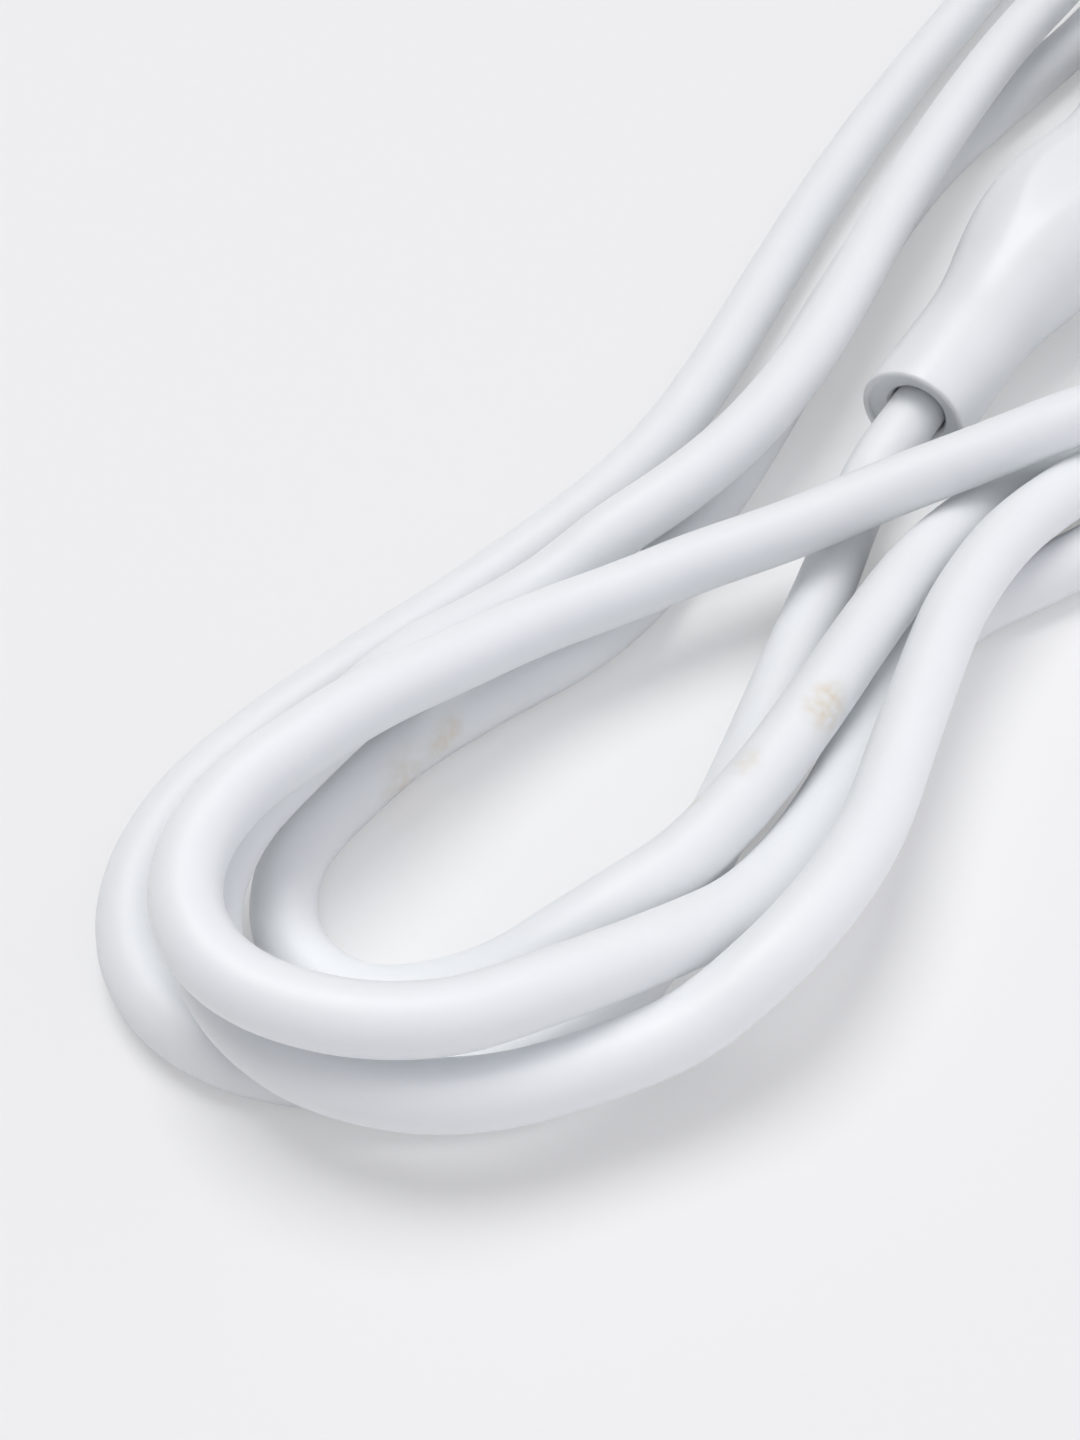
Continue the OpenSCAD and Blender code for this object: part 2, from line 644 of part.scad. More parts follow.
module socket_neutral_core() {
    color("steelblue") in_socket()
        core([[socket_sheath_end_x, -1.35, -0.75], [socket_sheath_end_x + core_straight, -1.35, -0.75],
              [socket_nut_x - 1.5, -socket_core_y, 0], [block_x - 0.35, -socket_core_y, 0]], block_x + 3.5);
}

module socket_earth_core() {
    color("yellowgreen") in_socket()
        core([[socket_sheath_end_x, 0, 1.6], [socket_sheath_end_x + core_straight, 0, 1.6],
              [socket_nut_x - 1.5, 4, 5.6], [parting_x, 4.2, 6.2], [bar_x - 2.6, 4.1, bar_screw_z]], bar_x - 0.1);
}

// ---------- plug ----------

module in_plug() {
    translate(plug_mouth) rotate([0, -plug_tilt, plug_turn]) children();
}

module plug_front() {
    color("white") in_plug() difference() {
        turned([
            [plug_parting_x, plug_cavity_r], [plug_parting_x, disc_r],
            for (a = [0:15:90]) [plug_len - edge_r * (1 - sin(a)), disc_r - edge_r * (1 - cos(a))],
            [plug_len, 0], [plug_plate_x, 0], [plug_plate_x, plug_cavity_r]
        ]);
        for (y = [-pin_y, pin_y]) translate([0, y, 0]) along_x(plug_plate_x - 1, plug_len + 1, pin_root_r + 0.05);
        along_x(plug_plate_x - 1, plug_len + 1, m3_r + 0.15);
        translate([plug_len, 0, 0]) flat_head_seat(m3_head_r);
        // flats for the earth strip's arms and slots for its plate
        for (s = [0, 180]) rotate([s, 0, 0]) {
            box_x(plug_parting_x + 1, plug_len + 1, -strip_w / 2 - 0.1, strip_w / 2 + 0.1,
                  disc_r - strip_t - 0.6, disc_r + 1);
            box_x(strip_plate_x - 0.1, strip_plate_x + strip_t + 0.1, -strip_w / 2 - 0.1, strip_w / 2 + 0.1,
                  plug_cavity_r - 2, disc_r);
        }
    }
}

module plug_cover() {
    outline = grip_outline(0, plug_stations, plug_wall, plug_flange_x, disc_r, plug_parting_x);
    filling = grip_core(0, plug_stations, plug_parting_x);
    color("white") in_plug() difference() {
        union() {
            turned(outline);
            intersection() {
                turned(filling);
                union() {
                    saddle_block(plug_clamp_x, plug_grip_r);
                    box_x(plug_bridge_x, plug_parting_x, -bridge_half_w, bridge_half_w, -disc_r, disc_r);
                }
            }
        }
        along_x(plug_bridge_x - 1, plug_parting_x + 1, m3_r + 0.15);
    }
}

// Pin with its rounded tip, and the terminal block behind the plug's face
module pin(side) {
    color("silver") in_plug() scale([1, side, 1]) difference() {
        union() {
            translate([0, pin_y, 0]) turned([
                [pin_block_x + 1, 0], [pin_block_x + 1, pin_root_r], [plug_len, pin_root_r], [plug_len, pin_d / 2],
                for (a = [0:15:90])
                    [plug_len + pin_len - pin_d / 2 * 0.8 * (1 - sin(a)), pin_d / 2 * cos(a)]
            ]);
            box_x(pin_block_x, plug_plate_x, 3.6, pin_y + pin_root_r + 0.3, -pin_block_h, pin_block_h);
        }
        translate([0, plug_core_y, 0]) along_x(pin_block_x - 1, plug_plate_x - 1.4, wire_d / 2 + 0.1);
        translate([pin_block_x + 2.6, plug_core_y, 0]) cylinder(h = 10, r = terminal_screw_r + 0.1);
    }
}

module line_pin() {
    pin(1);
}

module neutral_pin() {
    pin(-1);
}

module plug_earth_strip() {
    color("silver") in_plug() difference() {
        union() {
            box_x(strip_plate_x, strip_plate_x + strip_t, -bridge_half_w, bridge_half_w,
                  -disc_r + strip_t, disc_r - strip_t);
            for (s = [0, 180]) rotate([s, 0, 0])
                box_x(plug_parting_x + 1.2, plug_len - 0.3, -strip_w / 2, strip_w / 2,
                      disc_r - strip_t - 0.45, disc_r - 0.45);
        }
        along_x(strip_plate_x - 1, strip_plate_x + strip_t + 1, m3_r + 0.3);
        translate([0, 0, strip_screw_z])
            along_x(strip_plate_x - 1, strip_plate_x + strip_t + 1, terminal_screw_r + 0.1);
    }
}

module plug_terminal_screws() {
    color("silver") in_plug() {
        for (s = [-1, 1])
            translate([pin_block_x + 2.6, s * plug_core_y, pin_block_h]) small_screw(terminal_screw_r, 2.4, 1.4, 1.2);
        translate([strip_plate_x, 0, strip_screw_z]) rotate([0, -90, 0]) small_screw(terminal_screw_r, 1.5, 2, 1.4);
    }
}

module plug_centre_screw() {
    color("silver") in_plug() translate([plug_len, 0, 0])
        flat_head_screw(m3_r, plug_len - plug_nut_x + 1, m3_head_r);
}

module plug_centre_nut() {
    color("silver") in_plug() nut(plug_nut_x, m3_nut_af, m3_nut_t, m3_r + 0.05);
}

module plug_cord_clamp() {
    color("lightgray") in_plug() cord_clamp(plug_clamp_x);
}

module plug_clamp_screws() {
    color("silver") in_plug() clamp_screws(plug_clamp_x);
}

module plug_sheath_end() {
    color("white") in_plug() along_x(sheath_start, plug_sheath_end_x, cord_r);
}

module plug_line_core() {
    color("saddlebrown") in_plug()
        core([[plug_sheath_end_x, 1.35, -0.75], [plug_sheath_end_x + core_straight, 1.35, -0.75],
              [plug_nut_x - 3, plug_core_y, 0], [pin_block_x - 0.35, plug_core_y, 0]], pin_block_x + 3.5);
}

module plug_neutral_core() {
    color("steelblue") in_plug()
        core([[plug_sheath_end_x, -1.35, -0.75], [plug_sheath_end_x + core_straight, -1.35, -0.75],
              [plug_nut_x - 3, -plug_core_y, 0], [pin_block_x - 0.35, -plug_core_y, 0]], pin_block_x + 3.5);
}

module plug_earth_core() {
    color("yellowgreen") in_plug()
        core([[plug_sheath_end_x, 0, 1.6], [plug_sheath_end_x + core_straight, 0, 1.6],
              [plug_nut_x - 3, 4, 4.6], [plug_parting_x, 4.1, 5], [pin_block_x - 0.6, 3.6, 6.6]], pin_block_x + 3);
}

// ---------- cord ----------

module cord_to_plug() {
    color("white") tube(plug_lead, cord_r, 10);
}

module cord_hank() {
    points = finer(hank_route, 3);
    echo(str("hank: ", round(path_length(hank_route)), " mm of cord, least gap to itself ",
        least_gap(points, 12) - cord_d, " mm"));
    color("white") tube(hank_route, cord_r, 6);
}

module cord_to_socket() {
    color("white") tube(socket_lead, cord_r, 10);
}

// Flat band round the three runs that lie side by side
module hank_tie() {
    run_y = [38.2, 53.8];
    inner_r = cord_r + fit_gap;
    module band(r) {
        for (y = run_y) translate([y, 0]) circle(r = r);
        translate([run_y[0], -r]) square([run_y[1] - run_y[0], 2 * r]);
    }
    color("whitesmoke") translate([tie_x - tie_w / 2, 0, tie_z]) rotate([90, 0, 90])
        linear_extrude(tie_w) difference() {
            band(inner_r + tie_t);
            band(inner_r);
        }
}

socket_cup();
socket_cover();
contact_base();
line_contact();
neutral_contact();
socket_earth_bar();
socket_terminal_screws();
shutter();
shutter_spring();
socket_centre_screw();
socket_centre_nut();
socket_cord_clamp();
socket_clamp_screws();
socket_sheath_end();
socket_line_core();
socket_neutral_core();
socket_earth_core();
plug_front();
plug_cover();
line_pin();
neutral_pin();
plug_earth_strip();
plug_terminal_screws();
plug_centre_screw();
plug_centre_nut();
plug_cord_clamp();
plug_clamp_screws();
plug_sheath_end();
plug_line_core();
plug_neutral_core();
plug_earth_core();
cord_to_plug();
cord_hank();
cord_to_socket();
hank_tie();
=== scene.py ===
"""White extension cord in a loose hank: round-pin plug, earthed socket, three-core cord."""

import json
import math

import bmesh
import bpy
from mathutils import Matrix, Vector


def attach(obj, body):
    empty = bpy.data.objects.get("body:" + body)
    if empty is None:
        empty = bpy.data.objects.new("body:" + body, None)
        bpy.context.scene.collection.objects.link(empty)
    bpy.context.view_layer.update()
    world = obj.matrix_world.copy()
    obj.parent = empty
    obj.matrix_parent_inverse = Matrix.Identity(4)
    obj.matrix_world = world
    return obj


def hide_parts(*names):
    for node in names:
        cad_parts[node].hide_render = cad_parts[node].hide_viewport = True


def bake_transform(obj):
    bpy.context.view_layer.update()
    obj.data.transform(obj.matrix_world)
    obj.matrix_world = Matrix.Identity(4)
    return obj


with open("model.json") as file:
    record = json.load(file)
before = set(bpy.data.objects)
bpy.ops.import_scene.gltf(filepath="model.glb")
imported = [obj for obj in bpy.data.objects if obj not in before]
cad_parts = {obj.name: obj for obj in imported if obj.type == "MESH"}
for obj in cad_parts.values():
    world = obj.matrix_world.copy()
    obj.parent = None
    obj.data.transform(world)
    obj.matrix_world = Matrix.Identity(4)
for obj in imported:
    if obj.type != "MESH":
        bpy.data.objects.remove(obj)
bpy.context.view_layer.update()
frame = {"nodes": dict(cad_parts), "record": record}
NODES = frame["nodes"]
MM = 0.001

# ---------------------------------------------------------------- camera

IMAGE_H = 1440
FOCAL_PX = 1967
LOOK_DOWN = math.radians(50)
LOOK_AZIMUTH = math.radians(30)

camera_data = bpy.data.cameras.new("camera")
camera_data.sensor_fit = "VERTICAL"
camera_data.sensor_height = 36
camera_data.lens = FOCAL_PX * camera_data.sensor_height / IMAGE_H
camera_data.clip_start = 0.005
camera = bpy.data.objects.new("camera", camera_data)
camera.location = (-0.307, 0.022, 0.170165)
camera.rotation_euler = (math.pi / 2 - LOOK_DOWN, 0, LOOK_AZIMUTH - math.pi / 2)
bpy.context.scene.collection.objects.link(camera)
bpy.context.scene.camera = camera

# ---------------------------------------------------------------- sizes in mm, as in the CAD

CORD_D = 7.0
SOCKET_Z = 24.0
SOCKET_ENTRY = -48.0
SHEATH_START = 8.0  # how far the sheath runs on inside each mouth
PLUG_LEN, FRONT_LEN, PLUG_FLANGE = 104.0, 11.6, 2.4
PLUG_PARTING = PLUG_LEN - FRONT_LEN
PLUG_FLANGE_X = PLUG_PARTING - PLUG_FLANGE
PLUG_NECK_R, DISC_R = 7.0, 18.5
# the plug lies on its neck and on the edge of its disc
PLUG_TILT = math.atan((DISC_R - PLUG_NECK_R) / PLUG_FLANGE_X)
PLUG_TURN = math.radians(-4.5)
PLUG_MOUTH = Vector((-122.7, 75, PLUG_NECK_R * math.cos(PLUG_TILT)))
PLUG_FRAME = (
    Matrix.Translation(PLUG_MOUTH)
    @ Matrix.Rotation(PLUG_TURN, 4, "Z")
    @ Matrix.Rotation(-PLUG_TILT, 4, "Y")
)
SOCKET_FRAME = Matrix.Translation((0, 0, SOCKET_Z))
FOLD_X = 61.0  # where the hank's far folds start
FOLD_STEPS = 6
ROUTE_STEP = 1.3  # between two rings of the cord
FINE_STEPS = 24  # between two chosen points, before the line is evened out
EVENING_PASSES = 40
CORD_SIDES = 32


# ---------------------------------------------------------------- the cord's route


def on_plug(s):
    """The place on the plug's axis at distance s from its mouth."""
    return tuple(PLUG_FRAME @ Vector((s, 0, 0)))


def far_fold(y_from, y_to, z):
    """Half turn of the hank's far end, at one height."""
    r, mid = (y_from - y_to) / 2, (y_from + y_to) / 2
    angles = [math.pi / 2 - math.pi * i / FOLD_STEPS for i in range(FOLD_STEPS + 1)]
    return [(FOLD_X + r * math.cos(a), mid + r * math.sin(a), z) for a in angles]


# the cord from plug to socket: its lead, four lanes of the hank with half turns between them, and
# the lead to the socket; heights grow where one lane lies on another
PLUG_LEAD = [
    on_plug(SHEATH_START), on_plug(0), (-131, 75.6, 5.7), (-140, 75, 4.2), (-150, 73.4, 3.5),
]
RUN_1 = [
    (-162, 71.8, 3.5), (-175, 70, 3.5), (-186, 68.6, 3.5), (-195, 67.9, 3.5), (-203, 67.3, 3.5),
    (-211, 67.2, 3.5), (-219, 69.3, 3.5), (-227, 75, 3.5), (-234, 86, 3.5), (-237.5, 97, 3.5),
    (-236.5, 106, 3.5), (-232.5, 112.5, 3.5), (-225.5, 117.2, 3.5), (-215, 119.2, 3.5),
    (-203, 117.4, 3.5), (-190, 113.8, 3.5), (-176, 109.3, 3.5), (-161, 105.2, 3.5),
    (-149, 102.6, 3.5), (-137, 101.6, 3.5), (-122, 102.2, 3.5), (-100, 104.3, 3.5),
    (-75, 106.3, 3.5), (-40, 107.2, 3.5), (25, 106, 3.5),
]
RUN_2 = [
    (30, 54, 3.5), (-20, 50, 4.4), (-44, 51, 4.4), (-62, 53.8, 4.4), (-80, 53.8, 4.4),
    (-96, 54, 3.5),
    (-110, 56.2, 3.5), (-122, 59, 4), (-134, 62, 5.8), (-147, 63.8, 8.6), (-160, 64.3, 10.2),
    (-175, 64.6, 10.7), (-189, 65.4, 11), (-200, 67.3, 11), (-207, 70.2, 10.9), (-213, 73.6, 9.4),
    (-218.4, 77.3, 7.2), (-223.2, 83, 5.1), (-226, 89, 3.9), (-225.8, 95, 3.5), (-223, 100.2, 3.5),
    (-218.2, 103.6, 3.5), (-212.5, 105, 3.5), (-204, 104.2, 3.5), (-196, 102.6, 3.5),
    (-185, 98.4, 3.5), (-173, 93.2, 3.5), (-160, 91, 3.5), (-140, 91.2, 3.5), (-118, 92.8, 3.5),
    (-95, 94.6, 3.5), (-68, 95, 3.5), (-44, 91.6, 3.5), (-20, 88, 3.5), (10, 86.5, 4.5),
    (42, 86.5, 9.5),
]
RUN_3 = [
    (40, 40, 11), (12, 38.8, 6), (-20, 42.2, 4.4), (-44, 43.2, 4.4), (-62, 46, 4.4), (-80, 46, 4.4),
    (-96, 46.3, 3.5), (-108, 48.2, 4.6), (-119, 50.9, 6.8), (-130, 53.7, 9.4), (-141, 56, 11.2),
    (-154, 56.8, 11.6), (-166, 55.5, 11.6), (-177, 53.9, 11.8), (-188, 52.3, 12.8),
    (-199, 52.4, 13.9), (-208.6, 54.4, 13.4), (-217, 58.2, 11), (-225, 64.3, 10.3),
    (-231.2, 70, 10.5), (-236, 77.2, 10.9),
    (-238.3, 88, 11.1), (-235.5, 98.2, 11.2), (-228.5, 105, 11.2), (-219, 108.2, 10.9),
    (-209, 108, 10.6), (-199, 106.9, 10.4), (-189, 105.8, 9.2), (-179.5, 103, 7.5),
    (-170, 99.8, 7.2),
    (-162, 96.5, 9.5), (-153, 92.8, 10.8), (-142, 90.3, 11.1), (-128, 89.4, 11), (-110, 90.4, 11),
    (-90, 92.4, 11), (-65, 93.9, 11.1), (-42, 94, 11.2), (-20, 92.6, 11.2), (8, 91.2, 12.4),
    (40, 91, 16.5),
]
RUN_4 = [
    (40, 30, 18), (12, 30.6, 11), (-16, 34, 4.8), (-44, 35.4, 4.4), (-62, 38.2, 4.4),
    (-80, 38.2, 4.4),
    (-96, 38.6, 3.5), (-108, 40.6, 3.5), (-118, 43.3, 3.5), (-128, 47, 3.5), (-137, 51.6, 3.5),
    (-147, 57, 3.5), (-158, 59.8, 3.6), (-170, 59.4, 4.6), (-182, 58.6, 6.3), (-192.5, 58.7, 8.1),
    (-201.3, 60, 9.9), (-208.2, 62.4, 12.4), (-215.4, 65.5, 15.1), (-223.2, 69.8, 17.2),
    (-230.6, 75.4, 18.1), (-235.4, 83, 18.5), (-237.4, 91.5, 18.7), (-236.4, 98, 18.8),
    (-232.6, 103.2, 18.7), (-226.8, 106.2, 18.6), (-219.5, 106.8, 18.4), (-211.5, 105.2, 18),
    (-201.5, 102.6, 16.8), (-191, 99.6, 13.9), (-180, 95.5, 11.8), (-171, 90.4, 11),
    (-162, 84.9, 11),
]
SOCKET_LEAD = [
    (-152, 78, 11), (-141, 70.6, 12), (-131, 63.2, 13), (-121, 56.2, 13.8), (-111, 49, 13.4),
    (-101, 41.5, 13), (-91, 32, 14), (-82, 21.5, 17), (-74, 11, 20.5), (-66, 3.8, 23),
    (-57, 0.4, 24), (SOCKET_ENTRY, 0, SOCKET_Z), (SOCKET_ENTRY + SHEATH_START, 0, SOCKET_Z),
]
ROUTE = (
    PLUG_LEAD + RUN_1 + far_fold(106, 54, 3.5) + RUN_2 + far_fold(86.5, 40, 11)
    + RUN_3 + far_fold(91, 30, 18.6) + RUN_4 + SOCKET_LEAD
)


def smooth_route(points, step):
    """A smooth line through the points, with a place every step of length."""
    pts = [Vector(p) for p in points]
    ends = [2 * pts[0] - pts[1]] + pts + [2 * pts[-1] - pts[-2]]
    fine = []
    for p0, p1, p2, p3 in zip(ends, ends[1:], ends[2:], ends[3:]):
        # centripetal Catmull-Rom, which never loops or overshoots between close points
        t1 = math.sqrt((p1 - p0).length)
        t2 = t1 + math.sqrt((p2 - p1).length)
        t3 = t2 + math.sqrt((p3 - p2).length)
        for k in range(FINE_STEPS):
            t = t1 + (t2 - t1) * k / FINE_STEPS
            a1 = p0 * (t1 - t) / t1 + p1 * t / t1
            a2 = p1 * (t2 - t) / (t2 - t1) + p2 * (t - t1) / (t2 - t1)
            a3 = p2 * (t3 - t) / (t3 - t2) + p3 * (t - t2) / (t3 - t2)
            b1 = a1 * (t2 - t) / t2 + a2 * t / t2
            b2 = a2 * (t3 - t) / (t3 - t1) + a3 * (t - t1) / (t3 - t1)
            fine.append(b1 * (t2 - t) / (t2 - t1) + b2 * (t - t1) / (t2 - t1))
    fine.append(pts[-1])
    # evens out the change of bend at the chosen points
    for _ in range(EVENING_PASSES):
        fine = [fine[0]] + [
            p * 0.5 + (a + b) * 0.25 for a, p, b in zip(fine, fine[1:], fine[2:])
        ] + [fine[-1]]
    total = sum((b - a).length for a, b in zip(fine, fine[1:]))
    count = round(total / step)
    out, i, run = [fine[0]], 0, 0.0
    for n in range(1, count):
        want = total * n / count
        while run + (fine[i + 1] - fine[i]).length < want:
            run += (fine[i + 1] - fine[i]).length
            i += 1
        part = (want - run) / (fine[i + 1] - fine[i]).length
        out.append(fine[i].lerp(fine[i + 1], part))
    out.append(fine[-1])
    return out


def tube_mesh(name, path, radius, sides):
    """A round tube along a path in mm; its UV map runs in metres along it and once round it."""
    mesh = bpy.data.meshes.new(name)
    bm = bmesh.new()
    uv = bm.loops.layers.uv.new("along")
    side = None
    rings, along, run = [], [], 0.0
    for i, p in enumerate(path):
        a, b = path[max(i - 1, 0)], path[min(i + 1, len(path) - 1)]
        t = (b - a).normalized()
        side = side or t.orthogonal().normalized()
        side = (side - t * side.dot(t)).normalized()
        up = t.cross(side)
        if i:
            run += (p - path[i - 1]).length * MM
        along.append(run)
        turns = [2 * math.pi * k / sides for k in range(sides)]
        rings.append([
            bm.verts.new((p + radius * (side * math.cos(w) + up * math.sin(w))) * MM) for w in turns
        ])
    for i in range(len(rings) - 1):
        for k in range(sides):
            n = (k + 1) % sides
            face = bm.faces.new((rings[i][k], rings[i][n], rings[i + 1][n], rings[i + 1][k]))
            face.smooth = True
            marks = ((along[i], k), (along[i], k + 1), (along[i + 1], k + 1), (along[i + 1], k))
            for loop, (u, v) in zip(face.loops, marks):
                loop[uv].uv = (u, v / sides)
    bm.faces.new(list(reversed(rings[0])))
    bm.faces.new(rings[-1])
    bmesh.ops.recalc_face_normals(bm, faces=bm.faces)
    bm.to_mesh(mesh)
    bm.free()
    return mesh


def add(name, mesh, *materials):
    """Puts a mesh in the scene as an object, with its materials."""
    obj = bpy.data.objects.new(name, mesh)
    bpy.context.scene.collection.objects.link(obj)
    for m in materials:
        obj.data.materials.append(m)
    return obj


# ---------------------------------------------------------------- materials


def hex_colour(text):
    """An sRGB hex value as linear colour."""
    parts = [int(text[i:i + 2], 16) / 255 for i in (1, 3, 5)]
    linear = [c / 12.92 if c <= 0.04045 else ((c + 0.055) / 1.055) ** 2.4 for c in parts]
    return (*linear, 1.0)


def node(tree, kind, inputs=None, **settings):
    """Adds a node; settings name its properties or inputs, inputs takes sockets or values."""
    n = tree.nodes.new(kind)
    for key, value in settings.items():
        if hasattr(n, key):
            setattr(n, key, value)
        else:
            n.inputs[key.replace("_", " ")].default_value = value
    for key, source in (inputs or {}).items():
        if isinstance(source, bpy.types.NodeSocket):
            tree.links.new(source, n.inputs[key])
        else:
            n.inputs[key].default_value = source
    return n


def new_material(name, **shader):
    """A material with settings for its shader; gives the material, its node tree and the shader."""
    m = bpy.data.materials.new(name)
    m.use_nodes = True
    bsdf = m.node_tree.nodes["Principled BSDF"]
    for key, value in shader.items():
        bsdf.inputs[key.replace("_", " ")].default_value = value
    return m, m.node_tree, bsdf


WHITE_SCATTER = (1.0, 1.0, 1.0)  # light of every colour goes equally deep


def moulded(name, colour, rough, spread, grain_mm, bump, milky=0.0):
    """A moulded plastic with clouds of tone about 14 mm across and a fine grain."""
    m, tree, bsdf = new_material(
        name, Roughness=rough, Subsurface_Weight=milky, Subsurface_Radius=WHITE_SCATTER,
        Subsurface_Scale=3 * MM,
    )
    place = node(tree, "ShaderNodeTexCoord").outputs["Object"]
    cloud = node(tree, "ShaderNodeTexNoise", {"Vector": place}, Scale=1 / (14 * MM), Detail=3.0)
    full = hex_colour(colour)
    low = tuple(c * (1 - spread) for c in full[:3]) + (1.0,)
    tone = node(tree, "ShaderNodeMix", {0: cloud.outputs["Fac"], 6: low, 7: full}, data_type="RGBA")
    tree.links.new(tone.outputs[2], bsdf.inputs["Base Color"])
    grain = node(
        tree, "ShaderNodeTexNoise", {"Vector": place}, Scale=1 / (grain_mm * MM), Detail=2.0,
    )
    lift = node(
        tree, "ShaderNodeBump", {"Height": grain.outputs["Fac"]}, Strength=bump, Distance=0.1 * MM,
    )
    tree.links.new(lift.outputs["Normal"], bsdf.inputs["Normal"])
    return m


# share of a mark's reach over which it fades out
MARK_FADE = 0.85


def mark(tree, place, centre, size):
    """A soft blot round a centre, both in mm, as a factor from 0 to 1."""
    away = node(
        tree, "ShaderNodeVectorMath", {0: place, 1: [c * MM for c in centre]}, operation="SUBTRACT",
    )
    scaled = node(
        tree, "ShaderNodeVectorMath", {0: away.outputs[0], 1: [c * MM for c in size]},
        operation="DIVIDE",
    )
    reach = node(tree, "ShaderNodeVectorMath", {0: scaled.outputs[0]}, operation="LENGTH")
    fade = node(
        tree, "ShaderNodeMapRange", {"Value": reach.outputs["Value"]},
        interpolation_type="SMOOTHSTEP",
        From_Min=1 - MARK_FADE, From_Max=1.0, To_Min=1.0, To_Max=0.0,
    )
    return fade.outputs["Result"]


# where handling has left beige marks on the sheath: centre and half sizes in mm, strength
MARKS = [
    ((-199.0, 101.8, 3.4), (7.5, 3.0, 4.0), 1.0),
    ((-193.5, 99.4, 4.6), (5.0, 2.2, 3.0), 0.7),
    ((-176.5, 62.8, 13.4), (5.0, 3.4, 3.6), 0.75),
    ((-188.0, 66.3, 13.2), (3.6, 2.4, 3.0), 0.5),
    ((-194.5, 68.8, 12.2), (2.2, 1.8, 2.0), 0.5),
]


def sheath_finish():
    """White PVC, extruded: milky, a soft sheen, faint ripples along it, and a few beige marks."""
    m, tree, bsdf = new_material(
        "extruded pvc", IOR=1.53, Subsurface_Weight=1.0, Subsurface_Radius=WHITE_SCATTER,
        Subsurface_Scale=5 * MM,
    )
    place = node(tree, "ShaderNodeTexCoord").outputs["Object"]
    # tone drifts slowly over about 25 mm of cord
    cloud = node(tree, "ShaderNodeTexNoise", {"Vector": place}, Scale=1 / (25 * MM), Detail=3.0)
    tone = node(
        tree, "ShaderNodeMix",
        {0: cloud.outputs["Fac"], 6: hex_colour("#EBEFF1"), 7: hex_colour("#F2F4F5")},
        data_type="RGBA",
    )
    # the marks break up into grains of about 1.3 mm
    grain = node(tree, "ShaderNodeTexNoise", {"Vector": place}, Scale=1 / (1.3 * MM), Detail=4.0)
    patchy = node(
        tree, "ShaderNodeMapRange", {"Value": grain.outputs["Fac"]}, From_Min=0.2, From_Max=0.62,
    )
    colour = tone.outputs[2]
    for centre, size, strength in MARKS:
        part = node(
            tree, "ShaderNodeMath",
            {0: mark(tree, place, centre, size), 1: patchy.outputs["Result"]},
            operation="MULTIPLY",
        )
        weak = node(
            tree, "ShaderNodeMath", {0: part.outputs[0], 1: strength}, operation="MULTIPLY",
        )
        stain = node(
            tree, "ShaderNodeMix", {0: weak.outputs[0], 6: colour, 7: hex_colour("#DDCDB4")},
            data_type="RGBA",
        )
        colour = stain.outputs[2]
    tree.links.new(colour, bsdf.inputs["Base Color"])
    # roughness wanders between satin and matt, as where hands have rubbed it
    rub = node(tree, "ShaderNodeTexNoise", {"Vector": place}, Scale=1 / (9 * MM), Detail=2.0)
    gloss = node(
        tree, "ShaderNodeMapRange", {"Value": rub.outputs["Fac"]}, To_Min=0.42, To_Max=0.58,
    )
    tree.links.new(gloss.outputs["Result"], bsdf.inputs["Roughness"])
    # ripples 3 mm long that the extruder leaves, stretched round the sheath by the UV map
    along = node(tree, "ShaderNodeUVMap", uv_map="along").outputs["UV"]
    spread = node(tree, "ShaderNodeMapping", {"Vector": along, "Scale": (1 / (3 * MM), 2.0, 1.0)})
    ripple = node(tree, "ShaderNodeTexNoise", {"Vector": spread.outputs[0]}, Scale=1.0, Detail=2.0)
    fine = node(tree, "ShaderNodeTexNoise", {"Vector": place}, Scale=1 / (0.5 * MM), Detail=2.0)
    low = node(
        tree, "ShaderNodeBump", {"Height": ripple.outputs["Fac"]},
        Strength=0.12, Distance=0.12 * MM,
    )
    lift = node(
        tree, "ShaderNodeBump", {"Height": fine.outputs["Fac"], "Normal": low.outputs[0]},
        Strength=0.06, Distance=0.05 * MM,
    )
    tree.links.new(lift.outputs["Normal"], bsdf.inputs["Normal"])
    return m


